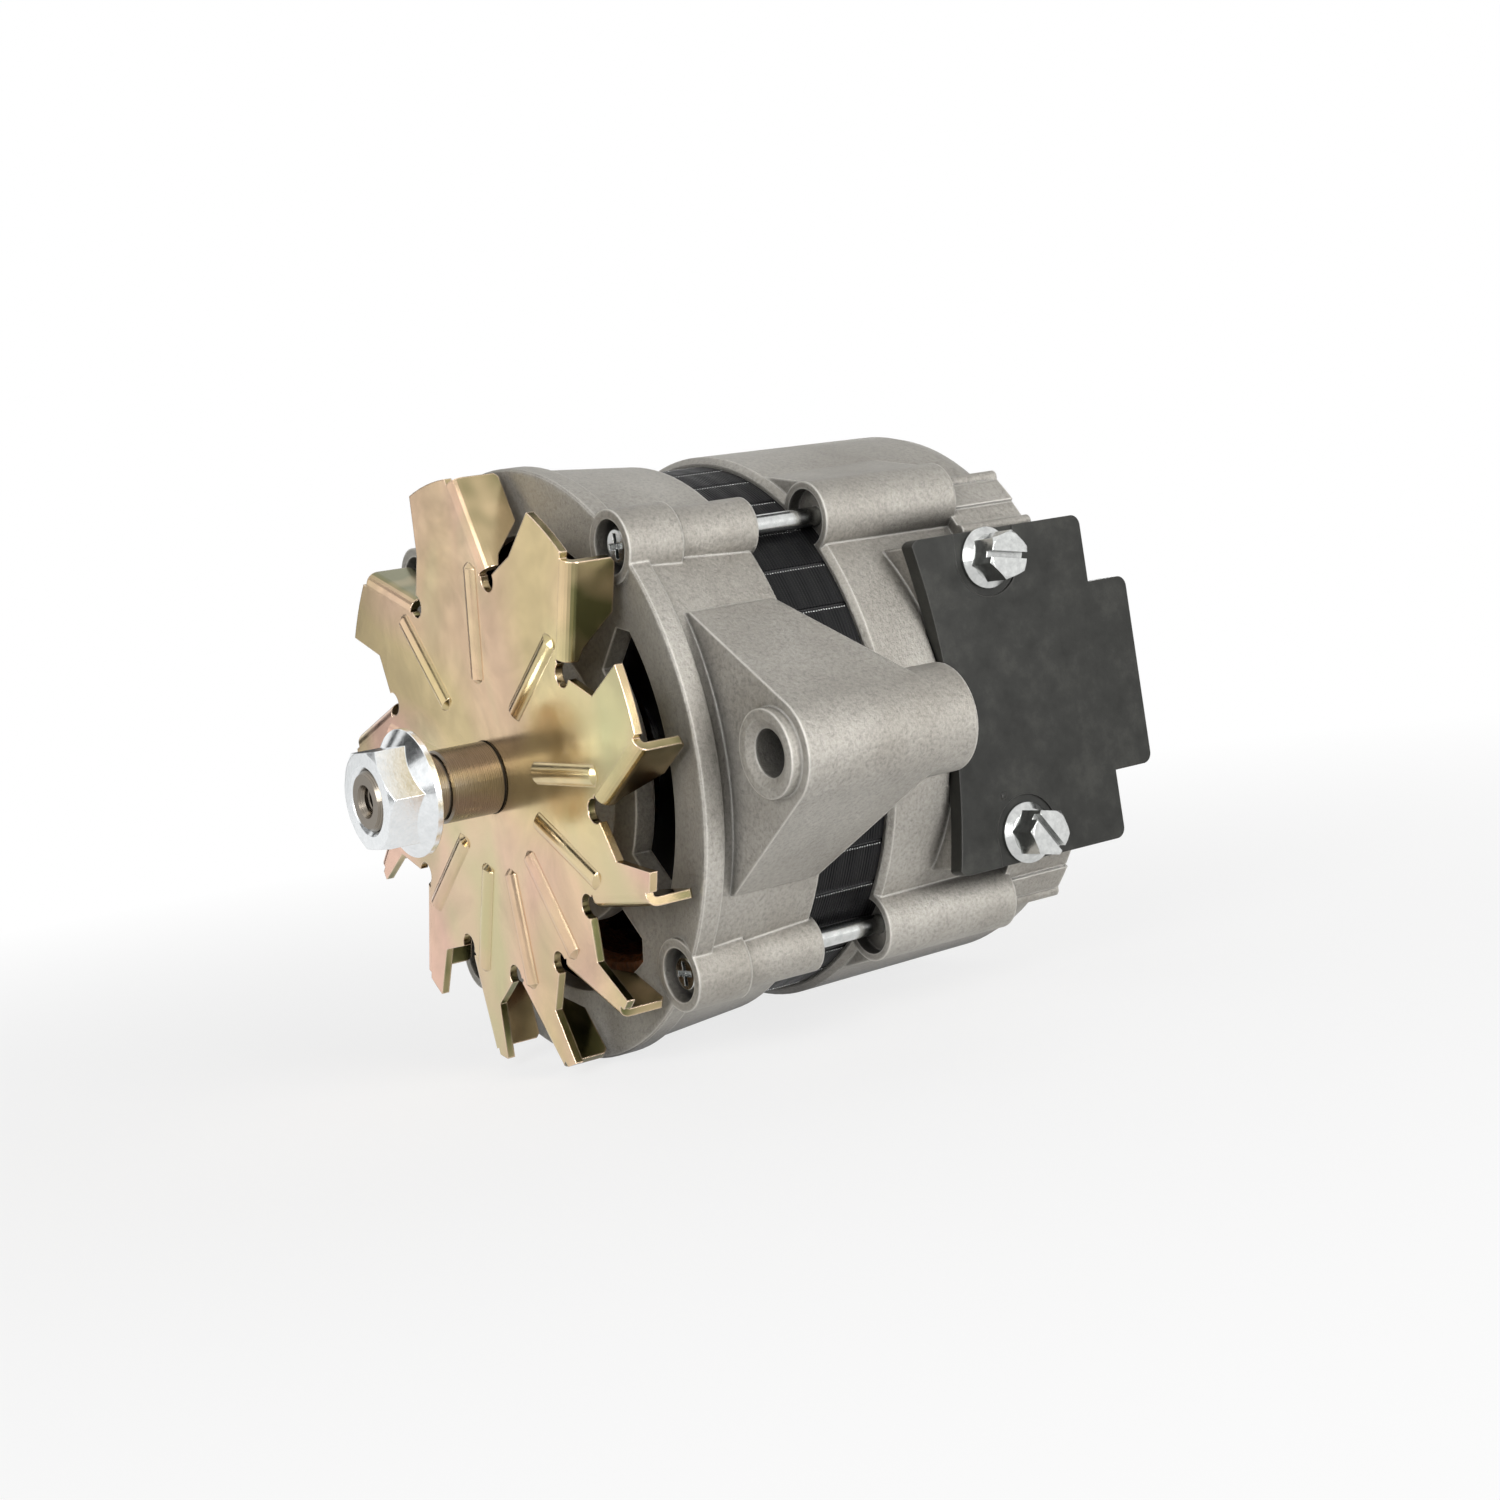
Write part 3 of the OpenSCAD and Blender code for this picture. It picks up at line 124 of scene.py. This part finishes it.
class Graph:
    """A material with a Principled shader, and short ways to add nodes to it.

    Colours are linear. The values given at the start stay on the shader's own sockets, also
    where nodes are linked over them.
    """

    def __init__(self, name, color, metallic=0.0, roughness=0.5, specular=0.5):
        self.material, self.shader = principled(name, color, roughness)
        self.tree = self.material.node_tree
        self.shader.inputs["Metallic"].default_value = metallic
        self.shader.inputs["Specular IOR Level"].default_value = specular
        self.place = self.add("ShaderNodeTexCoord").outputs["Object"]

    def add(self, kind, **inputs):
        node = self.tree.nodes.new(kind)
        for name, value in inputs.items():
            node.inputs[name].default_value = value
        return node

    def link(self, source, target):
        self.tree.links.new(source, target)

    def noise(self, scale, detail=2.0, roughness=0.5, distortion=0.0, stretch=None):
        """Noise between 0 and 1. The scale is about the number of its spots in a metre."""
        node = self.add(
            "ShaderNodeTexNoise",
            Scale=scale, Detail=detail, Roughness=roughness, Distortion=distortion,
        )
        self.link(self.stretched(stretch) if stretch else self.place, node.inputs["Vector"])
        return node.outputs["Fac"]

    def stretched(self, factors):
        """The place in the object, multiplied by a factor along each axis."""
        mapping = self.add("ShaderNodeMapping")
        mapping.inputs["Scale"].default_value = factors
        self.link(self.place, mapping.inputs["Vector"])
        return mapping.outputs["Vector"]

    def ramp(self, source, stops):
        """A colour ramp of (place, grey or colour) stops."""
        node = self.add("ShaderNodeValToRGB")
        elements = node.color_ramp.elements
        while len(elements) < len(stops):
            elements.new(0.5)
        for element, (at, value) in zip(elements, stops):
            element.position = at
            element.color = (*value, 1) if isinstance(value, tuple) else (value, value, value, 1)
        self.link(source, node.inputs["Fac"])
        return node.outputs["Color"]

    def between(self, noise, low, high):
        """Two greys or colours, mixed by a noise."""
        return self.ramp(noise, [(NOISE_LOW, low), (NOISE_HIGH, high)])

    def mix(self, factor, first, second, blend="MIX"):
        """Mixes two colours, each an output or a plain colour."""
        node = self.add("ShaderNodeMix")
        node.data_type = "RGBA"
        node.blend_type = blend
        for index, value in ((MIX_FACTOR, factor), (MIX_FIRST, first), (MIX_SECOND, second)):
            feed(self.tree, node.inputs[index], value)
        return node.outputs[MIX_RESULT]

    def product(self, first, second):
        return self.mix(1, first, second, "MULTIPLY")

    def y_of(self, vector):
        split = self.add("ShaderNodeSeparateXYZ")
        self.link(vector, split.inputs[0])
        return split.outputs["Y"]

    def along_shaft(self, y_from, y_to):
        """0 before one place along the shaft and 1 past another."""
        return map_range(self.tree, self.y_of(self.place), y_from, y_to)

    def face_normal(self):
        return self.add("ShaderNodeNewGeometry").outputs["Normal"]

    def rounded(self, radius):
        """The normal, as if all edges were rounded by a radius."""
        bevel = self.add("ShaderNodeBevel", Radius=radius)
        bevel.samples = BEVEL_SAMPLES
        return bevel.outputs["Normal"]

    def edges(self, rounded):
        """1 on the edges that a rounded normal turns on, and 0 on the faces."""
        cosine = calculate(
            self.tree, "ShaderNodeVectorMath", "DOT_PRODUCT", self.face_normal(), rounded
        )
        return self.ramp(cosine, EDGE_STOPS)

    def open_share(self, distance):
        """1 in the open and less in corners, bores and behind other pieces."""
        occlusion = self.add("ShaderNodeAmbientOcclusion", Distance=distance)
        occlusion.samples = OCCLUSION_SAMPLES
        return occlusion.outputs["AO"]

    def shade(self, skin, distance, low=0.2, high=0.66, dark=0.1):
        """Paints shade into a colour: darkens it by how little of its surroundings is open.

        It is multiplied by dark where the open share is low, and stays as it is from high on.
        """
        return self.product(skin, self.ramp(self.open_share(distance), [(low, dark), (high, 1.0)]))

    def color(self, source):
        self.link(source, self.shader.inputs["Base Color"])

    def roughness(self, noise, low, high):
        self.link(self.between(noise, low, high), self.shader.inputs["Roughness"])

    def surface(self, height, strength, distance, normal=None):
        """Bump from a height, over a rounded normal if there is one."""
        bump = self.add("ShaderNodeBump", Strength=strength, Distance=distance)
        self.link(height, bump.inputs["Height"])
        if normal:
            self.link(normal, bump.inputs["Normal"])
        self.link(bump.outputs["Normal"], self.shader.inputs["Normal"])


def cast_aluminium():
    """Grey castings with a coarse grain, painted highlights on the edges and painted shade in the
    corners.
    """
    g = Graph("cast_aluminium", (0.34, 0.325, 0.295), metallic=0.45, roughness=0.5)
    grain = g.noise(scale=1100, detail=4, roughness=0.75)
    blotches = g.noise(scale=28, detail=5, roughness=0.6)
    tone = g.between(blotches, low=(0.3, 0.28, 0.245), high=(0.45, 0.43, 0.39))
    pits = g.ramp(grain, [(0.3, 0.62), (0.5, 0.94), (0.68, 1.12)])
    rounded = g.rounded(radius=1.1 * MM)
    # Painted highlight: the edges are mixed to a light colour
    painted_edge_highlight = (0.8, 0.775, 0.72)
    skin = g.mix(g.edges(rounded), g.product(tone, pits), painted_edge_highlight)
    # Painted shade, darkest in corners and bores
    g.color(g.shade(skin, distance=14 * MM))
    g.roughness(grain, low=0.4, high=0.6)
    g.surface(grain, strength=0.8, distance=0.35 * MM, normal=rounded)
    return g.material


def sheet_aluminium():
    """The rectifier's heat sinks, with painted shade that darkens them inside the casing."""
    g = Graph("sheet_aluminium", (0.5, 0.5, 0.49), metallic=0.9, roughness=0.4)
    mottle = g.noise(scale=300)
    tone = g.between(mottle, low=(0.42, 0.42, 0.41), high=(0.55, 0.55, 0.54))
    g.color(g.shade(tone, distance=25 * MM, low=0.35, high=0.85, dark=0.12))
    g.roughness(mottle, low=0.32, high=0.5)
    return g.material


def lamination():
    """The near black edges of the stator's sheets."""
    g = Graph("lamination", (0.008, 0.008, 0.009), metallic=0.1, roughness=0.4, specular=0.25)
    wave = g.add("ShaderNodeTexWave", Scale=LAMINATION_SCALE, Distortion=0.4)
    wave.bands_direction = "Y"
    g.link(g.place, wave.inputs["Vector"])
    bands = wave.outputs["Fac"]
    g.color(g.ramp(bands, [(0.2, (0.003, 0.003, 0.004)), (0.9, (0.012, 0.012, 0.012))]))
    g.surface(bands, strength=0.5, distance=0.1 * MM)
    return g.material


def winding():
    """Enamelled copper, streaked across the shaft's direction, with painted shade in its recesses.
    """
    g = Graph("winding", (0.2, 0.07, 0.025), metallic=0.5, roughness=0.35)
    wires = g.noise(scale=500, stretch=(1, 3, 1))
    tone = g.between(wires, low=(0.1, 0.035, 0.012), high=(0.3, 0.11, 0.035))
    g.color(g.shade(tone, distance=14 * MM))
    g.surface(wires, strength=0.6, distance=0.5 * MM)
    return g.material


def zinc_steel():
    """Bright zinc. The pulley nut gets a brighter tone as painted light, the screws are duller,
    and corners and bores get painted shade.
    """
    g = Graph("zinc_steel", (0.62, 0.65, 0.69), metallic=1, roughness=0.22)
    mottle = g.noise(scale=620, detail=4, roughness=0.65)
    painted_lit_tone = g.between(mottle, low=(0.8, 0.825, 0.835), high=(0.93, 0.95, 0.96))
    dull = g.between(mottle, low=(0.55, 0.56, 0.55), high=(0.7, 0.71, 0.695))
    # Painted light: the brighter tone at the pulley nut stands in for the light that falls on it
    tone = g.mix(g.along_shaft(y_from=-9 * MM, y_to=5 * MM), painted_lit_tone, dull)
    g.color(g.shade(tone, distance=7 * MM, low=0.08, high=0.5, dark=0.38))
    g.roughness(mottle, low=0.16, high=0.24)
    g.surface(
        g.noise(scale=1200), strength=0.12, distance=0.1 * MM, normal=g.rounded(radius=0.25 * MM)
    )
    return g.material


def bearing_steel():
    """Turned steel, browner towards the pulley end of the shaft, with painted shade in corners and
    bores.
    """
    g = Graph("bearing_steel", (0.4, 0.385, 0.365), metallic=1, roughness=0.28)
    lines = g.noise(scale=90, stretch=(0, 60, 0))
    pulley_end_brown = g.between(lines, low=(0.19, 0.165, 0.135), high=(0.31, 0.275, 0.23))
    plain = g.between(lines, low=(0.36, 0.36, 0.355), high=(0.46, 0.46, 0.455))
    tone = g.mix(g.along_shaft(y_from=14 * MM, y_to=24 * MM), pulley_end_brown, plain)
    # Painted shade in corners and bores
    g.color(g.shade(tone, distance=6 * MM, low=0.1, high=0.5, dark=0.25))
    g.roughness(lines, low=0.2, high=0.36)
    return g.material


def plain_metal(name, color, roughness):
    g = Graph(name, color, metallic=1, roughness=roughness)
    g.roughness(g.noise(scale=400), low=roughness - 0.06, high=roughness + 0.08)
    return g.material


def pole_iron():
    g = Graph("pole_iron", (0.03, 0.029, 0.027), metallic=0.6, roughness=0.45)
    g.roughness(g.noise(scale=300), low=0.38, high=0.55)
    return g.material


def yellow_zinc():
    """Yellow passivated zinc: gold that drifts to pink and green, as an oil film does."""
    g = Graph("yellow_zinc", (0.72, 0.6, 0.38), metallic=1, roughness=0.3)
    gold, pink, green = (0.82, 0.65, 0.35), (0.85, 0.56, 0.43), (0.6, 0.58, 0.31)
    pink_drift = g.noise(scale=17, detail=1, distortion=0.5)
    green_drift = g.noise(scale=23, detail=2, distortion=0.4, stretch=(1.3, 1, 1))
    tone = g.mix(g.ramp(pink_drift, [(0.4, 0.0), (0.62, 1.0)]), gold, pink)
    tone = g.mix(g.ramp(green_drift, [(0.5, 0.0), (0.72, 0.8)]), tone, green)
    film = g.noise(scale=40, detail=4, roughness=0.55, distortion=0.6)
    tone = g.product(tone, g.ramp(film, [(0.32, 0.74), (0.6, 1.0)]))

    # Painted shade: the folded flaps, which face away from the shaft's ends, are browner and
    # darker
    facing = calculate(g.tree, "ShaderNodeMath", "ABSOLUTE", g.y_of(g.face_normal()))
    flap = g.ramp(facing, [(0.35, 1.0), (0.85, 0.0)])
    olive, brown = (0.17, 0.165, 0.07), (0.62, 0.48, 0.28)
    flap_tone = g.ramp(g.noise(scale=55, detail=2), [(0.4, olive), (0.62, brown)])
    tone = g.mix(flap, tone, flap_tone)

    # Painted highlight on the edges that turn outwards, and painted shade on the feet of the beads
    rounded = g.rounded(radius=0.4 * MM)
    dark, painted_highlight = (0.2, 0.15, 0.07), (0.95, 0.76, 0.6)
    edge_tone = g.ramp(g.open_share(distance=1.5 * MM), [(0.72, dark), (0.96, painted_highlight)])
    skin = g.mix(g.edges(rounded), tone, edge_tone)

    # The cut sides of the sheet are made a bright copper
    side = g.product(flap, g.edges(g.rounded(radius=0.85 * MM)))
    coppery = (0.86, 0.66, 0.5)
    skin = g.mix(side, skin, coppery)
    # Painted shade in corners and behind other pieces
    g.color(g.shade(skin, distance=9 * MM, low=0.1, high=0.5, dark=0.2))
    g.roughness(g.noise(scale=160, detail=3), low=0.15, high=0.25)
    g.surface(g.noise(scale=500), strength=0.06, distance=0.1 * MM, normal=rounded)
    return g.material


def black_plastic():
    """Moulded plastic that handling has left dusty, with painted highlights on its edges and
    painted shade in its recesses.
    """
    g = Graph("black_plastic", (0.018, 0.018, 0.017), roughness=0.42, specular=0.3)
    smudge = g.noise(scale=110, detail=8, roughness=0.7)
    clean, worn, dusty = (0.01, 0.0101, 0.0083), (0.0155, 0.0156, 0.0132), (0.029, 0.0288, 0.0246)
    tone = g.ramp(smudge, [(0.34, clean), (0.5, worn), (0.66, dusty)])
    rounded = g.rounded(radius=0.6 * MM)
    # Painted highlight on the edges
    painted_highlight = (0.075, 0.073, 0.068)
    g.color(g.shade(g.mix(g.edges(rounded), tone, painted_highlight), distance=4 * MM))
    g.roughness(smudge, low=0.32, high=0.54)
    g.surface(g.noise(scale=1600), strength=0.2, distance=0.1 * MM, normal=rounded)
    return g.material


def carbon():
    g = Graph("carbon", (0.03, 0.03, 0.032), roughness=0.6)
    g.roughness(g.noise(scale=700), low=0.5, high=0.7)
    return g.material


MATERIALS = {
    "cast_aluminium": cast_aluminium(),
    "sheet_aluminium": sheet_aluminium(),
    "lamination": lamination(),
    "winding": winding(),
    "zinc_steel": zinc_steel(),
    "bearing_steel": bearing_steel(),
    "cage_brass": plain_metal("cage_brass", (0.42, 0.27, 0.09), roughness=0.35),
    "pole_iron": pole_iron(),
    "ring_brass": plain_metal("ring_brass", (0.55, 0.27, 0.12), roughness=0.25),
    "yellow_zinc": yellow_zinc(),
    "black_plastic": black_plastic(),
    "carbon": carbon(),
}


def dress_nodes():
    """Gives each CAD node the material of its slot."""
    for part in frame["record"]["subparts"]:
        mesh = frame["nodes"][part["node"]].data
        mesh.materials.clear()
        mesh.materials.append(MATERIALS[part["material_slot"]])


# Small visible pieces

SHAFT_AXIS = (0, 0)
BATTERY_AXIS = (-39.547 * MM, 19.288 * MM)
INDICATOR_AXIS = (15.049 * MM, -41.346 * MM)

# The part of the lamination stack that shows between the brackets
STACK_FROM = 54.3 * MM
STACK_TO = 72.6 * MM
STACK_R = 64 * MM
SHEETS = 26
SEAMS = 36

# The bands on the stack. The chamfer is a share of a band's width. SHEET_SHARE, NICK_FROM and
# NICK_TO are shares of the pitch, and SEAM_HALF_WIDTH and NICK_END are degrees from a seam
BAND_CHAMFER = 0.2
BAND_SINK = 0.05 * MM
SHEET_SHARE = 0.66
SHEET_RISE = 0.12 * MM
SHEET_STEPS = 5
SEAM_HALF_WIDTH = 0.75
NICK_FROM, NICK_TO = 0.1, 0.6
NICK_RISE = 0.16 * MM
NICK_END = 0.45
NICK_STEPS = 1

THREAD_STEPS = 48
THREAD_SINK = 0.06 * MM
THREAD_CREST = (0.4, 0.6)

MARK_PLACE = (67.7 * MM, 101.6 * MM, -22.5 * MM)
MARK_R = 0.9 * MM
MARK_TOP_SHARE = 0.8
MARK_RISE = 0.12 * MM
MARK_CROWN = 1.5
MARK_SINK = 0.05 * MM
MARK_STEPS = 24


def add_piece(name, points, faces, body, slot):
    """A mesh in metres that moves with a CAD body and takes a slot's finish."""
    mesh = bpy.data.meshes.new(name)
    mesh.from_pydata(points, [], faces)
    mesh.materials.append(MATERIALS[slot])
    piece = add_object(name, mesh)
    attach(piece, body)


def around(axis, r, y, angle):
    """A point at a radius and an angle from an axis that runs parallel to the shaft."""
    return axis[0] + r * math.cos(angle), y, axis[1] + r * math.sin(angle)


def sweep_faces(first, steps):
    """The faces of a closed bar whose cross section of four points is repeated step by step."""
    faces = []
    for step in range(steps):
        for edge in range(4):
            a, b = first + 4 * step + edge, first + 4 * step + (edge + 1) % 4
            faces.append((a, b, b + 4, a + 4))
    last = first + 4 * steps
    faces.append((first + 3, first + 2, first + 1, first))
    faces.append((last, last + 1, last + 2, last + 3))
    return faces


def add_band(points, faces, y_low, y_high, high_r, start, end, steps):
    """Adds an arc of a narrow raised band round the lamination stack, with chamfered sides."""
    side = (y_high - y_low) * BAND_CHAMFER
    low_r = STACK_R - BAND_SINK
    profile = [(low_r, y_low), (high_r, y_low + side), (high_r, y_high - side), (low_r, y_high)]
    first = len(points)
    for step in range(steps + 1):
        angle = math.radians(start + (end - start) * step / steps)
        points.extend(around(SHAFT_AXIS, r, y, angle) for r, y in profile)
    faces.extend(sweep_faces(first, steps))


def add_sheets():
    """The edges of the stator's sheets, broken at the seams, where each has a bright nick."""
    pitch = (STACK_TO - STACK_FROM) / SHEETS
    seam = 360 / SEAMS
    sheet_points, sheet_faces, nick_points, nick_faces = [], [], [], []
    for sheet in range(SHEETS):
        y = STACK_FROM + sheet * pitch
        for index in range(SEAMS):
            angle = (index + 0.5) * seam
            add_band(
                sheet_points, sheet_faces, y, y + pitch * SHEET_SHARE, STACK_R + SHEET_RISE,
                angle + SEAM_HALF_WIDTH, angle + seam - SEAM_HALF_WIDTH, SHEET_STEPS,
            )
            add_band(
                nick_points, nick_faces, y + pitch * NICK_FROM, y + pitch * NICK_TO,
                STACK_R + NICK_RISE, angle - SEAM_HALF_WIDTH, angle - NICK_END, NICK_STEPS,
            )
    add_piece("stator_sheet_edges", sheet_points, sheet_faces, "housing", "lamination")
    add_piece("stator_seam_nicks", nick_points, nick_faces, "housing", "zinc_steel")


def add_thread(name, body, slot, axis, y_low, y_high, radius, pitch, height, width):
    """A helical ridge around an axis parallel to the shaft. A negative height points inwards."""
    count = int((y_high - y_low) / pitch * THREAD_STEPS)
    sink = math.copysign(THREAD_SINK, -height)
    crest_from, crest_to = THREAD_CREST
    profile = [(sink, 0), (height, width * crest_from), (height, width * crest_to), (sink, width)]
    points = []
    for step in range(count + 1):
        angle = 2 * math.pi * step / THREAD_STEPS
        y = y_low + pitch * step / THREAD_STEPS
        points.extend(around(axis, radius + rise, y + along, angle) for rise, along in profile)
    faces = sweep_faces(0, count)
    if height < 0:
        # The profile is mirrored, so the faces are turned over
        faces = [face[::-1] for face in faces]
    add_piece(name, points, faces, body, slot)


def add_threads():
    add_thread(
        "battery_terminal_thread", "housing", "zinc_steel", BATTERY_AXIS,
        y_low=139.3 * MM, y_high=149.2 * MM,
        radius=3 * MM, pitch=1 * MM, height=0.18 * MM, width=0.7 * MM,
    )
    add_thread(
        "indicator_terminal_thread", "housing", "zinc_steel", INDICATOR_AXIS,
        y_low=138.5 * MM, y_high=145.3 * MM,
        radius=2.5 * MM, pitch=0.8 * MM, height=0.15 * MM, width=0.56 * MM,
    )
    # The pulley nut's thread: flat ridges that stand for its grooves. Their small slopes catch the
    # light, and their dark iron is painted shade
    add_thread(
        "shaft_thread_painted_shade", "rotor", "pole_iron", SHAFT_AXIS,
        y_low=-23.2 * MM, y_high=-13.2 * MM,
        radius=7 * MM, pitch=1.5 * MM, height=0.05 * MM, width=0.6 * MM,
    )
    add_thread(
        "nut_thread_painted_shade", "nut", "pole_iron", SHAFT_AXIS,
        y_low=-22.6 * MM, y_high=-14.2 * MM,
        radius=7.03 * MM, pitch=1.5 * MM, height=-0.05 * MM, width=0.6 * MM,
    )
    add_thread(
        "shaft_hole_thread", "rotor", "bearing_steel", SHAFT_AXIS,
        y_low=-22.9 * MM, y_high=-15.6 * MM,
        radius=3.2 * MM, pitch=1 * MM, height=-0.3 * MM, width=0.7 * MM,
    )


def add_mould_mark():
    """The small round mark that an ejector pin left on the side cover."""
    x, y, z = MARK_PLACE
    points = [(x + MARK_RISE * MARK_CROWN, y, z)]
    for ring_r, rise in ((MARK_R * MARK_TOP_SHARE, MARK_RISE), (MARK_R, -MARK_SINK)):
        for step in range(MARK_STEPS):
            angle = 2 * math.pi * step / MARK_STEPS
            points.append((x + rise, y + ring_r * math.cos(angle), z + ring_r * math.sin(angle)))
    faces = []
    for step in range(MARK_STEPS):
        a, b = 1 + step, 1 + (step + 1) % MARK_STEPS
        faces.append((0, a, b))
        faces.append((a, a + MARK_STEPS, b + MARK_STEPS, b))
    faces.append(tuple(1 + MARK_STEPS + step for step in reversed(range(MARK_STEPS))))
    add_piece("cover_mould_mark", points, faces, "housing", "black_plastic")


# Studio

# The lamps and cards face this point
STUDIO_MIDDLE = Vector((0, 0.05, 0))

# Name: place, size, watts
SOFTBOXES = {
    "key": ((0.65, -0.8, 0.35), (0.6, 0.6), 8),
    "top": ((-0.1, 0.1, 0.95), (0.9, 0.6), 1.2),
    "side": ((1.05, 0.25, 0.05), (0.35, 0.6), 12),
    "rear": ((-0.8, 0.9, 0.0), (0.7, 0.5), 5),
}

# Name: place, size
FLAGS = {
    "flag_high": ((-0.45, -0.75, 0.7), (0.9, 0.35)),
    "flag_left": ((-0.95, -0.25, 0.1), (0.3, 0.9)),
    "flag_low": ((0.1, -0.9, -0.02), (0.5, 0.12)),
    "flag_back": ((-0.13, 0.6, 0.85), (0.6, 0.32)),
    "flag_rear_left": ((-1.05, 0.42, 0.15), (0.22, 0.9)),
    "flag_rear_right": ((0.2, 1.1, 0.3), (0.3, 0.7)),
}
FLAG_BLACK = (0.015, 0.015, 0.015)

FLOOR_SIZE = (60, 60)
FLOOR_GAP = 0.5 * MM
FLOOR_PALE = (0.9, 0.9, 0.9)
# The share of plain white in the floor, by the distance from the origin. The shadow shows
# through where it is below 1
FADE_FROM, FADE_TO = 0.12, 0.6
WHITE_NEAR, WHITE_FAR = 0.76, 1.0

WORLD_STRENGTH = 0.4

# The photograph's camera
CAMERA_PLACE = Vector((0.5328, -0.26675, 0.0408))
CAMERA_AZIMUTH = 57.02
CAMERA_ELEVATION = 4.23
CAMERA_ROLL = -9.02
CAMERA_LENS_MM = 62.16
CAMERA_CLIP_START = 0.01
SENSOR_MM = 36


def put(obj, place):
    """Puts a lamp or a card at a place and turns it towards the object."""
    obj.location = place
    obj.rotation_euler = (STUDIO_MIDDLE - Vector(place)).to_track_quat("-Z", "Y").to_euler()


def softbox(name, place, size, watts):
    light = bpy.data.lights.new(name, "AREA")
    light.shape = "RECTANGLE"
    light.size, light.size_y = size
    light.energy = watts
    put(add_object(name, light), place)


def rectangle(name, size, z=0.0):
    """A flat mesh around its origin."""
    half_w, half_h = size[0] / 2, size[1] / 2
    corners = ((-half_w, -half_h), (half_w, -half_h), (half_w, half_h), (-half_w, half_h))
    mesh = bpy.data.meshes.new(name)
    mesh.from_pydata([(x, y, z) for x, y in corners], [], [(0, 1, 2, 3)])
    return mesh


def flag(name, place, size):
    """A black card that only reflections show, as photographers set beside bright metal."""
    mesh = rectangle(name, size)
    material, _ = principled(name, FLAG_BLACK, roughness=1)
    mesh.materials.append(material)
    card = add_object(name, mesh)
    put(card, place)
    card.visible_camera = False
    card.visible_diffuse = False
    card.visible_shadow = False


def white_to_camera(tree, shader_output, target, share=1.0):
    """Shows a share of white to the camera, in reflections and through glass.

    The rest of what they see, and all other light, is the shader's own.
    """
    path = tree.nodes.new("ShaderNodeLightPath").outputs
    seen = calculate(
        tree, "ShaderNodeMath", "MAXIMUM", path["Is Camera Ray"], path["Is Glossy Ray"]
    )
    seen = calculate(tree, "ShaderNodeMath", "MAXIMUM", seen, path["Is Transmission Ray"])
    factor = calculate(tree, "ShaderNodeMath", "MULTIPLY", seen, share)
    mix = tree.nodes.new("ShaderNodeMixShader")
    glow = tree.nodes.new("ShaderNodeEmission")
    tree.links.new(factor, mix.inputs["Fac"])
    tree.links.new(shader_output, mix.inputs[1])
    tree.links.new(glow.outputs[0], mix.inputs[2])
    tree.links.new(mix.outputs[0], target)


def add_floor():
    mesh = rectangle("floor", FLOOR_SIZE, cad_box[0][2] - FLOOR_GAP)
    floor = add_object("floor", mesh)
    material, shader = principled("floor_white", FLOOR_PALE, roughness=0.8)
    tree = material.node_tree
    place = tree.nodes.new("ShaderNodeTexCoord").outputs["Object"]
    away = calculate(tree, "ShaderNodeVectorMath", "LENGTH", place)
    share = map_range(tree, away, FADE_FROM, FADE_TO, WHITE_NEAR, WHITE_FAR)
    target = tree.nodes["Material Output"].inputs["Surface"]
    white_to_camera(tree, shader.outputs[0], target, share)
    mesh.materials.append(material)


def add_world():
    world = bpy.data.worlds.new("studio")
    bpy.context.scene.world = world
    world.use_nodes = True
    tree = world.node_tree
    background = tree.nodes["Background"]
    background.inputs["Strength"].default_value = WORLD_STRENGTH
    white_to_camera(tree, background.outputs[0], tree.nodes["World Output"].inputs["Surface"])


def add_camera():
    data = bpy.data.cameras.new("camera")
    data.lens = CAMERA_LENS_MM
    data.sensor_width = SENSOR_MM
    data.clip_start = CAMERA_CLIP_START
    camera = add_object("camera", data)
    turn = (
        Matrix.Rotation(math.radians(CAMERA_AZIMUTH), 4, "Z")
        @ Matrix.Rotation(math.radians(90 - CAMERA_ELEVATION), 4, "X")
        @ Matrix.Rotation(math.radians(CAMERA_ROLL), 4, "Z")
    )
    camera.matrix_world = Matrix.Translation(CAMERA_PLACE) @ turn
    bpy.context.scene.camera = camera


dress_nodes()
add_sheets()
add_threads()
add_mould_mark()
for name, (place, size, watts) in SOFTBOXES.items():
    softbox(name, place, size, watts)
for name, (place, size) in FLAGS.items():
    flag(name, place, size)
add_floor()
add_world()
add_camera()
bpy.context.scene.view_settings.view_transform = "Standard"
